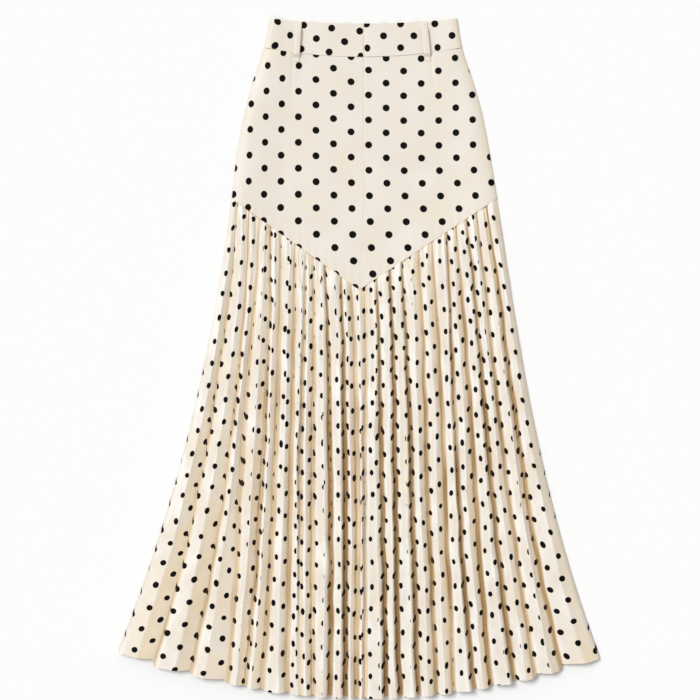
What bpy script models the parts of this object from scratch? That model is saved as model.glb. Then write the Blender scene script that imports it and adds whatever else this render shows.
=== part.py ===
"""Pleated A-line skirt with a pointed yoke, laid flat on its back with its front up.

Metres, +Z up. +X runs to the right of the front as it is seen, +Y runs up to the waist, and the
origin is the middle of the skirt's outline, on the surface that it lies on. Each piece of cloth is
a grid laid on its underside by functions of the skirt's sizes, with its wall added above.
"""

import math
from collections import namedtuple

import bmesh
import bpy

# Cloth walls, and the gaps that sewn pieces and lying layers keep to each other.
SATIN = 0.0012
PLEATED_SATIN = 0.0010
BAND = 0.0020
LOOP = 0.0015
SEAM_GAP = 0.0003
FOLDED_SEAM_GAP = 0.0008
LAYER_GAP = 0.0006

# The side lines of the band and the yoke, from the waist down to the ends of the pointed seam.
Section = namedtuple("Section", "height left right")
OUTLINE = (
    Section(0.5274, -0.1391, 0.1523),
    Section(0.4820, -0.1481, 0.1597),
    Section(0.4310, -0.1647, 0.1763),
    Section(0.3845, -0.1771, 0.1895),
    Section(0.3225, -0.1895, 0.2019),
    Section(0.2475, -0.1980, 0.2143),
)
WAIST, BAND_SEAM, SEAM_ENDS = OUTLINE[0], OUTLINE[1], OUTLINE[-1]
WAIST_DIP = 0.0078
BAND_SEAM_DIP = 0.0141

# The centre-front line, upright to the hip and then running to the point of the yoke.
CENTRE_FRONT = 0.0074
POINT_X = 0.0
POINT_HEIGHT = 0.1058

# The hem: an arc between the side seams, where each front pleat hangs lower at its ridge.
HEM_LEFT = -0.3735
HEM_RIGHT = 0.3735
HEM_CENTRE_X = 0.0136
HEM_HEIGHT = -0.5235
HEM_RADIUS = 1.062
HEM_SCALLOP = 0.0039
BACK_HEM_RISE = 0.0055
HEM_RISE_ONSET = 6

# How far out a pleat has fanned at a share of its length: the linear, square and cube parts.
Fan = namedtuple("Fan", "linear square cube")
LEFT_FAN = Fan(0.50, 0.40, 0.10)
RIGHT_FAN = Fan(0.65, 0.00, 0.35)

# Heights of the front's undersides above the surface that the skirt lies on.
BAND_REST = 0.0026
YOKE_REST = 0.0022
YOKE_AT_PLEATS = 0.0036
YOKE_RISE_LENGTH = 0.060

# The soft roll along the front's sides, and the swell that dies away inwards from it.
Roll = namedtuple("Roll", "width swell fade")
BAND_ROLL = Roll(0.008, 0.0020, 0.032)
YOKE_ROLL = Roll(0.018, 0.0045, 0.032)
ROLL_STEPS = 4
FADE_STEPS = 2
BACK_STEPS = 6
BACK_ROWS = 5
ROLL_INSET_SHARE = 0.8

# Depth of the front and back folds at shares of their length, from the seam to the hem.
FoldDepth = namedtuple("FoldDepth", "along front back")
FOLD_DEPTHS = (
    FoldDepth(0.00, 0.0014, 0.0006),
    FoldDepth(0.02, 0.0042, 0.0009),
    FoldDepth(0.05, 0.0062, 0.0012),
    FoldDepth(0.50, 0.0105, 0.0026),
    FoldDepth(1.00, 0.0130, 0.0040),
)
FADE_START = 0.45

# One row for each front pleat, from the left: its width at the seam and at the hem, and, at the
# hem, its ridge's height and the depth of the valley on its right, as shares of the fold's depth.
# That valley bows sideways by so much at its middle, and all of the front's lean to the right.
Pleat = namedtuple("Pleat", "seam hem crown dip bow")
FRONT_PLEATS = (
    Pleat(0.0093, 0.0531, 0.80, 0.55, 0.0006),
    Pleat(0.0178, 0.0545, 0.85, 0.85, 0.0036),
    Pleat(0.0171, 0.0583, 0.85, 0.45, -0.0096),
    Pleat(0.0163, 0.0279, 0.85, 0.60, 0.0003),
    Pleat(0.0163, 0.0279, 0.85, 0.60, -0.0018),
    Pleat(0.0225, 0.0380, 0.90, 0.75, -0.0049),
    Pleat(0.0163, 0.0209, 0.85, 0.10, -0.0076),
    Pleat(0.0116, 0.0186, 0.85, 0.75, -0.0029),
    Pleat(0.0178, 0.0264, 1.00, 1.00, 0.0038),
    Pleat(0.0248, 0.0248, 1.00, 1.00, 0.0012),
    Pleat(0.0155, 0.0155, 0.95, 0.35, 0.0056),
    Pleat(0.0225, 0.0140, 0.90, 0.70, -0.0025),
    Pleat(0.0178, 0.0341, 1.00, 1.00, 0.0005),
    Pleat(0.0202, 0.0202, 1.00, 1.00, 0.0008),
    Pleat(0.0186, 0.0295, 1.00, 1.00, 0.0030),
    Pleat(0.0264, 0.0271, 1.00, 0.80, 0.0014),
    Pleat(0.0202, 0.0279, 0.95, 0.75, 0.0040),
    Pleat(0.0233, 0.0302, 1.00, 0.95, -0.0023),
    Pleat(0.0140, 0.0256, 0.95, 0.90, 0.0053),
    Pleat(0.0163, 0.0369, 1.00, 0.95, 0.0058),
    Pleat(0.0155, 0.0333, 0.90, 0.65, 0.0050),
    Pleat(0.0155, 0.0411, 0.85, 0.85, 0.0037),
    Pleat(0.0171, 0.0616, 0.80, 1.00, 0.0000),
)
FRONT_LEAN = 0.0030
LEAN_ONSET = 6.0
PLEAT_ROWS = (0.0, 0.02, 0.05, 0.12, 0.21, 0.31, 0.42, 0.53, 0.64, 0.75, 0.84, 0.92, 1.0)

# Where a fold's narrow flats lie, as shares of a pleat's width. The back is evenly pleated, and
# pressed flatter, so its valleys lie broad and flat on the surface.
FoldForm = namedtuple("FoldForm", "valley ridge_start ridge_end")
FRONT_FORM = FoldForm(0.08, 0.38, 0.58)
BACK_FORM = FoldForm(0.17, 0.38, 0.62)
BACK_PLEATS = 24

# Belt loops: the middles of their ends, their width, and their form by the length of each part.
LoopPlace = namedtuple("LoopPlace", "name top_x bottom_x top_y bottom_y")
LOOP_PLACES = (
    LoopPlace("belt_loop_left", -0.0940, -0.0980, 0.5205, 0.4600),
    LoopPlace("belt_loop_right", 0.1004, 0.1066, 0.5205, 0.4610),
)
LOOP_WIDTH = 0.0108
LOOP_CLEARANCE = 0.0050
LOOP_FOOT = 0.0055
LOOP_BEND = 0.0070
LOOP_BEND_STEPS = 3

CREAM = (0.871, 0.807, 0.716, 1.0)
CREAM_SHADE = (0.838, 0.768, 0.665, 1.0)
SATIN_ROUGHNESS = 0.42
SHARP_FOLD = math.radians(30)


def mix(start, end, share):
    """Value at a share of the way from start to end."""
    return start + (end - start) * share


def ease(share):
    """Smooth step from 0 to 1."""
    share = min(max(share, 0.0), 1.0)
    return share * share * (3.0 - 2.0 * share)


def side_lines(height):
    """Left and right side lines of the band and yoke at a height, on a smooth curve."""
    last = len(OUTLINE) - 1
    height = min(max(height, SEAM_ENDS.height), WAIST.height)
    index = next(i for i in range(last) if height >= OUTLINE[i + 1].height)
    upper, lower = OUTLINE[index], OUTLINE[index + 1]
    before, after = OUTLINE[max(index - 1, 0)], OUTLINE[min(index + 2, last)]
    span = upper.height - lower.height
    t = (upper.height - height) / span
    ends = []
    for first, second, ahead, behind in zip(upper[1:], lower[1:], after[1:], before[1:]):
        leave = (second - behind) / (before.height - lower.height) * span
        arrive = (ahead - first) / (upper.height - after.height) * span
        start_part = first * (1 + 2 * t) * (1 - t) ** 2 + leave * t * (1 - t) ** 2
        end_part = second * t * t * (3 - 2 * t) + arrive * t * t * (t - 1)
        ends.append(start_part + end_part)
    return tuple(ends)


def dipped(x, section, dip):
    """Height at x of an edge that dips between its ends at an outline section."""
    share = (2 * x - section.left - section.right) / (section.right - section.left)
    return section.height - dip * (1 - share * share)


def waist_edge(x):
    """Height of the band's upper edge at x."""
    return dipped(x, WAIST, WAIST_DIP)


def band_seam(x):
    """Height of the seam between band and yoke at x."""
    return dipped(x, BAND_SEAM, BAND_SEAM_DIP)


def centre_front(height):
    """The centre-front line's x at a height."""
    share = (SEAM_ENDS.height - height) / (SEAM_ENDS.height - POINT_HEIGHT)
    return mix(CENTRE_FRONT, POINT_X, min(max(share, 0.0), 1.0))


def pointed_seam(x):
    """Height of the pointed seam between yoke and pleats at x."""
    end_x = SEAM_ENDS.left if x < POINT_X else SEAM_ENDS.right
    return mix(POINT_HEIGHT, SEAM_ENDS.height, (x - POINT_X) / (end_x - POINT_X))


def hem_edge(x):
    """Height of the hem's arc at x."""
    return HEM_HEIGHT + HEM_RADIUS - math.sqrt(HEM_RADIUS**2 - (x - HEM_CENTRE_X) ** 2)


def rolled(distance, edge, rest, roll):
    """Height of a front panel at a distance from its side, over the soft roll there."""
    if distance < roll.width:
        across = 1.0 - max(distance, 0.0) / roll.width
        return mix(edge, rest + roll.swell, math.sqrt(1.0 - across * across))
    return rest + roll.swell * (1.0 - ease((distance - roll.width) / roll.fade))


def from_side(x, height, wall):
    """Distance of a point of a front panel from the nearer edge of its underside."""
    left, right = side_lines(height)
    return min(x - left, right - x) - ROLL_INSET_SHARE * wall


def band_underside(x, height):
    """Height above the surface of the front band's underside."""
    return rolled(from_side(x, height, BAND), BAND + SEAM_GAP, BAND_REST, BAND_ROLL)


def yoke_underside(x, height):
    """Height above the surface of the front yoke's underside."""
    near_pleats = ease(1.0 - (height - pointed_seam(x)) / YOKE_RISE_LENGTH)
    rest = mix(YOKE_REST, YOKE_AT_PLEATS, near_pleats)
    return rolled(from_side(x, height, SATIN), SATIN + SEAM_GAP, rest, YOKE_ROLL)


def flat_on_surface(x, height):
    """Height of the underside of a back panel, which lies flat."""
    return 0.0


def finish(obj, colour):
    """Give an object a plain material of its own."""
    material = bpy.data.materials.new(obj.name)
    material.use_nodes = True
    shader = material.node_tree.nodes["Principled BSDF"]
    shader.inputs["Base Color"].default_value = colour
    shader.inputs["Roughness"].default_value = SATIN_ROUGHNESS
    shader.inputs["Metallic"].default_value = 0.0
    obj.data.materials.append(material)


def cloth(name, across, down, underside, wall, colour=CREAM):
    """Make one piece of cloth: a grid laid on its underside, with its wall added above.

    across and down list what the grid's columns and rows stand for, from the left and from the
    top, and underside turns such a pair into a point.
    """
    columns, rows = len(across) - 1, len(down) - 1
    grid = bmesh.new()
    bmesh.ops.create_grid(grid, x_segments=columns, y_segments=rows, size=0.5)
    for vert in grid.verts:
        column = round((vert.co.x + 0.5) * columns)
        row = round((0.5 - vert.co.y) * rows)
        vert.co = underside(across[column], down[row])
    mesh = bpy.data.meshes.new(name)
    grid.to_mesh(mesh)
    grid.free()
    mesh.shade_smooth()
    mesh.set_sharp_from_angle(angle=SHARP_FOLD)
    obj = bpy.data.objects.new(name, mesh)
    solid = obj.modifiers.new("wall", "SOLIDIFY")
    solid.thickness = wall
    solid.offset = 1.0
    solid.use_even_offset = True
    finish(obj, colour)
    return obj


def along_edge(share, left_of, right_of, edge):
    """Height of the point at a share of an edge between two side lines."""
    x = mix(left_of(WAIST.height), right_of(WAIST.height), share)
    for _ in range(6):
        height = edge(x)
        x = mix(left_of(height), right_of(height), share)
    return height


def smooth_panel(name, across, rows, left_of, right_of, upper, lower, underside, wall):
    """Make a panel of the band or yoke between two side lines and two edges."""

    def place(share, drop):
        top = along_edge(share, left_of, right_of, upper) - SEAM_GAP / 2
        bottom = along_edge(share, left_of, right_of, lower) + SEAM_GAP / 2
        height = mix(top, bottom, drop)
        x = mix(left_of(height), right_of(height), share)
        return x, height, underside(x, height)

    return cloth(name, across, [row / rows for row in range(rows + 1)], place, wall)


def across_half(width, roll, steps):
    """Shares from a side to the centre front: close over the roll and its swell, then wider apart."""
    turns = [math.pi / 2 * step / ROLL_STEPS for step in range(ROLL_STEPS + 1)]
    fades = [roll.fade * step / FADE_STEPS for step in range(1, FADE_STEPS + 1)]
    shares = [roll.width * (1.0 - math.cos(turn)) / width for turn in turns]
    shares += [(roll.width + fade) / width for fade in fades]
    return shares + [mix(shares[-1], 1.0, step / steps) for step in range(1, steps + 1)]


def front_halves(stem, upper, lower, underside, wall, roll, steps, rows):
    """Make the left and right halves of a front panel, which meet at the centre-front line."""
    inset = ROLL_INSET_SHARE * wall
    shares = across_half(CENTRE_FRONT - BAND_SEAM.left, roll, steps)

    def left_side(height):
        return side_lines(height)[0] + inset

    def right_side(height):
        return side_lines(height)[1] - inset

    def left_of_centre(height):
        return centre_front(height) - SEAM_GAP / 2

    def right_of_centre(height):
        return centre_front(height) + SEAM_GAP / 2

    mirrored = [1.0 - share for share in reversed(shares)]
    halves = (
        ("left", shares, left_side, left_of_centre),
        ("right", mirrored, right_of_centre, right_side),
    )
    return [
        smooth_panel(f"{stem}_{side}", across, rows, start, end, upper, lower, underside, wall)
        for side, across, start, end in halves
    ]


def back_panel(name, upper, lower, wall):
    """Make a back panel of the band or yoke, flat on the surface, with a grid line at the point."""
    point = (POINT_X - SEAM_ENDS.left) / (SEAM_ENDS.right - SEAM_ENDS.left)
    steps = [step / BACK_STEPS for step in range(BACK_STEPS + 1)]
    across = [point * step for step in steps] + [mix(point, 1.0, step) for step in steps[1:]]
    return smooth_panel(
        name,
        across,
        BACK_ROWS,
        lambda height: side_lines(height)[0],
        lambda height: side_lines(height)[1],
        upper,
        lower,
        flat_on_surface,
        wall,
    )


Crease = namedtuple("Crease", "seam_x hem_x seam_height hem_height bow at_side")


def creases(pleats, form):
    """List the creases of a pleated panel from the left, with their heights as shares of depth."""
    seam_width = sum(pleat.seam for pleat in pleats)
    hem_width = sum(pleat.hem for pleat in pleats)
    seam_scale = (SEAM_ENDS.right - SEAM_ENDS.left) / seam_width
    hem_scale = (HEM_RIGHT - HEM_LEFT) / hem_width
    seam_x, hem_x, left_valley = SEAM_ENDS.left, HEM_LEFT, 0.0
    left_bow = 0.0
    lines = [Crease(seam_x, hem_x, 0.0, 0.0, 0.0, True)]
    for index, pleat in enumerate(pleats):
        right_valley = (1.0 - pleat.dip) * pleat.crown
        corners = [
            (form.valley, 0.0, left_valley),
            (form.ridge_start, 1.0, pleat.crown),
            (form.ridge_end, 1.0, pleat.crown),
            (1.0 - form.valley, 0.0, right_valley),
        ]
        if index == 0:
            corners.pop(0)
        if index == len(pleats) - 1:
            corners.pop()
        seam_step, hem_step = pleat.seam * seam_scale, pleat.hem * hem_scale
        for share, at_seam, at_hem in corners:
            place = (seam_x + share * seam_step, hem_x + share * hem_step)
            bow = mix(left_bow, pleat.bow, share)
            lines.append(Crease(*place, at_seam, at_hem, bow, False))
        seam_x, hem_x, left_valley = seam_x + seam_step, hem_x + hem_step, right_valley
        left_bow = pleat.bow
    lines.append(Crease(SEAM_ENDS.right, HEM_RIGHT, 0.0, 0.0, 0.0, True))
    return with_point(lines)


def with_point(lines):
    """Add a line, on the face between two creases, that meets the point of the yoke."""
    index = next(i for i, line in enumerate(lines) if line.seam_x > POINT_X)
    before, after = lines[index - 1], lines[index]
    share = (POINT_X - before.seam_x) / (after.seam_x - before.seam_x)
    middle = Crease(*(mix(first, second, share) for first, second in zip(before[:5], after[:5])), False)
    return lines[:index] + [middle] + lines[index:]


def fold_depth(along, layer):
    """Depth of the folds of a layer, front or back, at a share of their length."""
    pairs = zip(FOLD_DEPTHS, FOLD_DEPTHS[1:])
    start, end = next(pair for pair in pairs if along <= pair[1].along)
    share = (along - start.along) / (end.along - start.along)
    return mix(getattr(start, layer), getattr(end, layer), share)


def fanned(along, across):
    """Share of its sideways travel that a fold has made, at a share of its length."""
    left, right = (
        fan.linear * along + fan.square * along**2 + fan.cube * along**3
        for fan in (LEFT_FAN, RIGHT_FAN)
    )
    return mix(left, right, across)


def pleated_panel(name, lines, layer, side_height, hem_rise, scallop):
    """Make a pleated panel from its creases, between the pointed seam and the hem."""

    def place(crease, along):
        across = (crease.hem_x - HEM_LEFT) / (HEM_RIGHT - HEM_LEFT)
        fading = ease((along - FADE_START) / (1.0 - FADE_START))
        fold = mix(crease.seam_height, crease.hem_height, fading)
        top = pointed_seam(crease.seam_x) - FOLDED_SEAM_GAP
        inwards = 1.0 - abs(2.0 * across - 1.0) ** HEM_RISE_ONSET
        bottom = hem_edge(crease.hem_x) + hem_rise * inwards - scallop * crease.hem_height
        x = mix(crease.seam_x, crease.hem_x, fanned(along, across))
        x += crease.bow * math.sin(math.pi * along)
        if layer == "front" and not crease.at_side:
            x += FRONT_LEAN * ease(along * LEAN_ONSET)
        rest = 0.0 if layer == "back" else fold_depth(along, "back") + PLEATED_SATIN + LAYER_GAP
        height = side_height if crease.at_side else rest + fold * fold_depth(along, layer)
        return x, mix(top, bottom, along), height

    return cloth(name, lines, PLEAT_ROWS, place, PLEATED_SATIN)


def front_top(x, height):
    """Height above the surface of the front's outer face, on the band or the yoke."""
    if height > band_seam(x):
        return band_underside(x, height) + BAND
    return yoke_underside(x, height) + SATIN


def belt_loop(place):
    """Make a loop: a foot on the band's edge, a stretch clear of it, and a foot on the yoke."""
    length = place.top_y - place.bottom_y
    bend = [LOOP_BEND * step / LOOP_BEND_STEPS for step in range(LOOP_BEND_STEPS + 1)]
    upper = [0.0] + [LOOP_FOOT + step for step in bend]
    stations = upper + [length - distance for distance in reversed(upper)]
    clear = BAND_REST + BAND + LOOP_CLEARANCE

    def underside(side, distance):
        share = distance / length
        x = mix(place.top_x, place.bottom_x, share) + side * LOOP_WIDTH / 2
        y = place.top_y - distance
        foot = front_top(x, place.top_y if share < 0.5 else place.bottom_y) + SEAM_GAP
        from_foot = min(distance, length - distance) - LOOP_FOOT
        return x, y, mix(foot, clear, ease(from_foot / LOOP_BEND))

    return cloth(place.name, (-1.0, 1.0), stations, underside, LOOP, CREAM_SHADE)


def main():
    """Build the skirt's pieces in a collection of their own."""
    for obj in list(bpy.data.objects):
        bpy.data.objects.remove(obj, do_unlink=True)
    collection = bpy.data.collections.new("pleated_skirt")
    bpy.context.scene.collection.children.link(collection)

    even = Pleat(1.0, 1.0, 1.0, 1.0, 0.0)
    pieces = [
        *front_halves("waistband_front", waist_edge, band_seam, band_underside, BAND, BAND_ROLL, 4, 2),
        back_panel("waistband_back", waist_edge, band_seam, BAND),
        *front_halves("yoke_front", band_seam, pointed_seam, yoke_underside, SATIN, YOKE_ROLL, 5, 8),
        back_panel("yoke_back", band_seam, pointed_seam, SATIN),
        pleated_panel(
            "pleated_front",
            creases(FRONT_PLEATS, FRONT_FORM),
            "front",
            PLEATED_SATIN + SEAM_GAP,
            0.0,
            HEM_SCALLOP,
        ),
        pleated_panel(
            "pleated_back",
            creases([even] * BACK_PLEATS, BACK_FORM),
            "back",
            0.0,
            BACK_HEM_RISE,
            0.0,
        ),
        *(belt_loop(place) for place in LOOP_PLACES),
    ]
    for piece in pieces:
        collection.objects.link(piece)


main()
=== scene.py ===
"""Looks of a pleated A-line skirt with polka dots, laid flat on its back with its front up.

Metres, +Z up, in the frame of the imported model: +X runs to the right of the front as it is seen,
+Y runs up to the waist, and the surface that the skirt lies on is at 0. Each piece of cloth is a
fine grid laid on its outer face by functions of the skirt's sizes, with its wall below, and it
carries its place on the printed cloth as a UV map in metres.
"""

from __future__ import annotations

import logging
import math
import random
from abc import ABC, abstractmethod
from collections.abc import Callable, Sequence
from dataclasses import dataclass
from enum import Enum
from functools import cached_property, partial
from typing import NamedTuple

import bmesh
import bpy
from mathutils import Matrix, Vector, noise

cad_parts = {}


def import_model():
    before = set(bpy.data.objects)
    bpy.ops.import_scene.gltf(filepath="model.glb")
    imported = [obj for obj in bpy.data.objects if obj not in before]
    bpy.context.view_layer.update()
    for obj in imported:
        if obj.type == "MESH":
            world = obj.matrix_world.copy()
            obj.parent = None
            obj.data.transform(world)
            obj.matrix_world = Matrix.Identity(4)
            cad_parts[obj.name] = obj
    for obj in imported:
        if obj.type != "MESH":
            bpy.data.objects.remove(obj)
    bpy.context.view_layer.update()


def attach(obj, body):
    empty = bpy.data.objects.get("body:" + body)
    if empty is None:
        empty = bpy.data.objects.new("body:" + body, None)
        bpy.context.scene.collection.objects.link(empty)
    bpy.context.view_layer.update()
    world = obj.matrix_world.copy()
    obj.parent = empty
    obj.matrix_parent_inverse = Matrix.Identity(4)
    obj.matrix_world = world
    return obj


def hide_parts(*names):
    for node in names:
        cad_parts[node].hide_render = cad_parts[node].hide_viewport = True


LOG = logging.getLogger("pleated_skirt")
BODY = "root"
PRINT_MAP = "print"
# The fold attribute paints light into the base colour: below CREAM_LEVEL a painted highlight, at it plain
# cream, above it painted shade on sides turned from the light and in valleys.
SHADE_ATTRIBUTE = "fold"
CREAM_LEVEL = 0.15

# The cloth's height at the skirt's side lines, and half of the gap at the centre-front seam.
EDGE_HEIGHT = 0.0008
HALF_GAP = 0.00001

# Where a front panel's columns lie, as shares of its width from the side and from the centre.
SIDE_MARKS = (0.0, 0.002, 0.006, 0.012, 0.02, 0.032, 0.048, 0.068, 0.092, 0.12)
CENTRE_MARKS = (0.0, 0.0004, 0.004, 0.009, 0.016, 0.026)

Colour = tuple[float, float, float]
Place = tuple[float, float]
Edge = Callable[[float], float]
Surface = Callable[[float, float], float]


class Slot(Enum):
    """The finishes that the record names."""

    DOTTED = "dotted_satin"
    PLEATED = "pleated_satin"
    PLAIN = "plain_satin"


class Layer(Enum):
    """The two layers of the skirt as it lies."""

    FRONT = "front"
    BACK = "back"


# ---------------------------------------------------------------------------------------------
# Measures


def mix(start: float, end: float, share: float) -> float:
    """Return the value at a share of the way from start to end."""
    return start + (end - start) * share


def kept(value: float, low: float, high: float) -> float:
    """Return a value kept between two limits."""
    return min(max(value, low), high)


def ease(share: float) -> float:
    """Return a smooth step from 0 to 1 over shares from 0 to 1."""
    share = kept(share, 0.0, 1.0)
    return share * share * (3.0 - 2.0 * share)


def mark(distance: float, width: float) -> float:
    """Return 1 on a line, falling softly to 0 a few widths away from it."""
    return math.exp(-((distance / width) ** 2))


def ripple(x: float, y: float, size: float, seed: float) -> float:
    """Return the slow rise and fall of lying cloth at a place, from about -1 to 1."""
    return noise.noise(Vector((x / size, y / size, seed)))


def quarter_round(distance: float, width: float) -> float:
    """Return the height share of a round edge at a distance in from it."""
    across = 1.0 - kept(distance / width, 0.0, 1.0)
    return math.sqrt(1.0 - across * across)


def at_rest(x: float) -> float:
    """Return the height of the surface that the skirt lies on, the same at every x."""
    return 0.0


@dataclass(frozen=True)
class Section:
    """Where the side lines of the band and yoke are at one height."""

    height: float
    left: float
    right: float


@dataclass(frozen=True)
class Outline:
    """The skirt's outline and seams, seen from above."""

    sections: tuple[Section, ...] = (
        Section(0.5274, -0.1391, 0.1523),
        Section(0.4820, -0.1481, 0.1597),
        Section(0.4310, -0.1647, 0.1763),
        Section(0.3845, -0.1771, 0.1895),
        Section(0.3225, -0.1895, 0.2019),
        Section(0.2475, -0.1980, 0.2143),
    )
    waist_dip: float = 0.0078
    band_seam_dip: float = 0.0141
    centre_x: float = 0.0074
    point_x: float = 0.0
    point_height: float = 0.1058
    hem_left: float = -0.3735
    hem_right: float = 0.3735
    hem_centre_x: float = 0.0136
    hem_height: float = -0.5235
    hem_radius: float = 1.062

    @property
    def waist(self) -> Section:
        """The section at the waist."""
        return self.sections[0]

    @property
    def band_ends(self) -> Section:
        """The section at the ends of the seam between band and yoke."""
        return self.sections[1]

    @property
    def seam_ends(self) -> Section:
        """The section at the ends of the pointed seam."""
        return self.sections[-1]

    def side_lines(self, height: float) -> tuple[float, float]:
        """Find the side lines at a height, on a smooth curve through the sections.

        Args:
            height: Height on the skirt, in Y.

        Returns:
            The x of the left and the right side line.
        """
        last = len(self.sections) - 1
        height = kept(height, self.seam_ends.height, self.waist.height)
        index = next(i for i in range(last) if height >= self.sections[i + 1].height)
        upper, lower = self.sections[index], self.sections[index + 1]
        before = self.sections[max(index - 1, 0)]
        after = self.sections[min(index + 2, last)]
        span = upper.height - lower.height
        t = (upper.height - height) / span
        ends = []
        for side in ("left", "right"):
            first, second = getattr(upper, side), getattr(lower, side)
            leave = (second - getattr(before, side)) / (before.height - lower.height) * span
            arrive = (getattr(after, side) - first) / (upper.height - after.height) * span
            start_part = first * (1 + 2 * t) * (1 - t) ** 2 + leave * t * (1 - t) ** 2
            end_part = second * t * t * (3 - 2 * t) + arrive * t * t * (t - 1)
            ends.append(start_part + end_part)
        return ends[0], ends[1]

    def left_side(self, height: float) -> float:
        """Return the left side line's x at a height."""
        return self.side_lines(height)[0]

    def right_side(self, height: float) -> float:
        """Return the right side line's x at a height."""
        return self.side_lines(height)[1]

    def left_of_centre(self, height: float) -> float:
        """Return the x of the left front's edge along the centre-front line."""
        return self.centre_front(height) - HALF_GAP

    def right_of_centre(self, height: float) -> float:
        """Return the x of the right front's edge along the centre-front line."""
        return self.centre_front(height) + HALF_GAP

    def from_side(self, x: float, height: float) -> float:
        """Return the distance of a place from the nearer side line."""
        left, right = self.side_lines(height)
        return min(x - left, right - x)

    def dipped(self, x: float, section: Section, dip: float) -> float:
        """Return the height at x of an edge that dips between its ends at a section."""
        share = (2 * x - section.left - section.right) / (section.right - section.left)
        return section.height - dip * (1 - share * share)

    def waist_edge(self, x: float) -> float:
        """Return the height of the band's upper edge at x."""
        return self.dipped(x, self.waist, self.waist_dip)

    def band_seam(self, x: float) -> float:
        """Return the height of the seam between band and yoke at x."""
        return self.dipped(x, self.band_ends, self.band_seam_dip)

    def centre_front(self, height: float) -> float:
        """Return the centre-front line's x at a height."""
        share = (self.seam_ends.height - height) / (self.seam_ends.height - self.point_height)
        return mix(self.centre_x, self.point_x, kept(share, 0.0, 1.0))

    def pointed_seam(self, x: float) -> float:
        """Return the height of the pointed seam between yoke and pleats at x."""
        end_x = self.seam_ends.left if x < self.point_x else self.seam_ends.right
        return mix(self.point_height, self.seam_ends.height, (x - self.point_x) / (end_x - self.point_x))

    def hem_edge(self, x: float) -> float:
        """Return the height of the hem's arc at x."""
        run = x - self.hem_centre_x
        return self.hem_height + self.hem_radius - math.sqrt(self.hem_radius**2 - run**2)


@dataclass(frozen=True)
class DotLayout:
    """How the dots lie on a piece: rows with every other one set over by half a pitch."""

    dot_x: float = 0.0
    dot_y: float = 0.0
    pitch: float = 0.0545
    row: float = 0.0198
    tilt: float = 0.0

    def place(self, x: float, y: float) -> Place:
        """Find a point's place on the printed cloth, measured from a dot along its row.

        Args:
            x: Place across the piece.
            y: Place up the piece.

        Returns:
            The places along and across the rows of dots.
        """
        across, up = x - self.dot_x, y - self.dot_y
        cos, sin = math.cos(self.tilt), math.sin(self.tilt)
        return across * cos + up * sin, up * cos - across * sin


# ---------------------------------------------------------------------------------------------
# Shader tools


class Value:
    """A number in a shader that takes Python's arithmetic."""

    def __init__(self, shader: Shader, socket: bpy.types.NodeSocket) -> None:
        """Wrap a node's output socket."""
        self.shader = shader
        self.socket = socket

    def _math(self, operation: str, *values: Value | float) -> Value:
        """Add a Math node.

        Args:
            operation: The node's operation.
            values: What it works on, in the order of its sockets.

        Returns:
            The result.
        """
        inputs = dict(enumerate(values))
        node = self.shader.node("ShaderNodeMath", {"operation": operation}, inputs)
        return Value(self.shader, node.outputs[0])

    def __add__(self, other: Value | float) -> Value:
        """Return the sum."""
        return self._math("ADD", self, other)

    __radd__ = __add__

    def __sub__(self, other: Value | float) -> Value:
        """Return the difference."""
        return self._math("SUBTRACT", self, other)

    def __rsub__(self, other: Value | float) -> Value:
        """Return the difference, with this value taken away."""
        return self._math("SUBTRACT", other, self)

    def __mul__(self, other: Value | float) -> Value:
        """Return the product."""
        return self._math("MULTIPLY", self, other)

    __rmul__ = __mul__

    def __truediv__(self, other: Value | float) -> Value:
        """Return the quotient."""
        return self._math("DIVIDE", self, other)

    def __rtruediv__(self, other: Value | float) -> Value:
        """Return the quotient, with this value as the divisor."""
        return self._math("DIVIDE", other, self)

    def __pow__(self, other: Value | float) -> Value:
        """Return the power."""
        return self._math("POWER", self, other)

    def sine(self) -> Value:
        """Return the sine."""
        return self._math("SINE", self)

    def fraction(self) -> Value:
        """Return what is above the whole number below."""
        return self._math("FRACT", self)

    def least(self, other: Value | float) -> Value:
        """Return the lesser of two values."""
        return self._math("MINIMUM", self, other)

    def clamped(self) -> Value:
        """Return the value kept from 0 to 1."""
        return self._math("MINIMUM", self._math("MAXIMUM", self, 0.0), 1.0)


# What may fill a node's socket.
Feed = Value | bpy.types.NodeSocket | Colour | float


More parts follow.
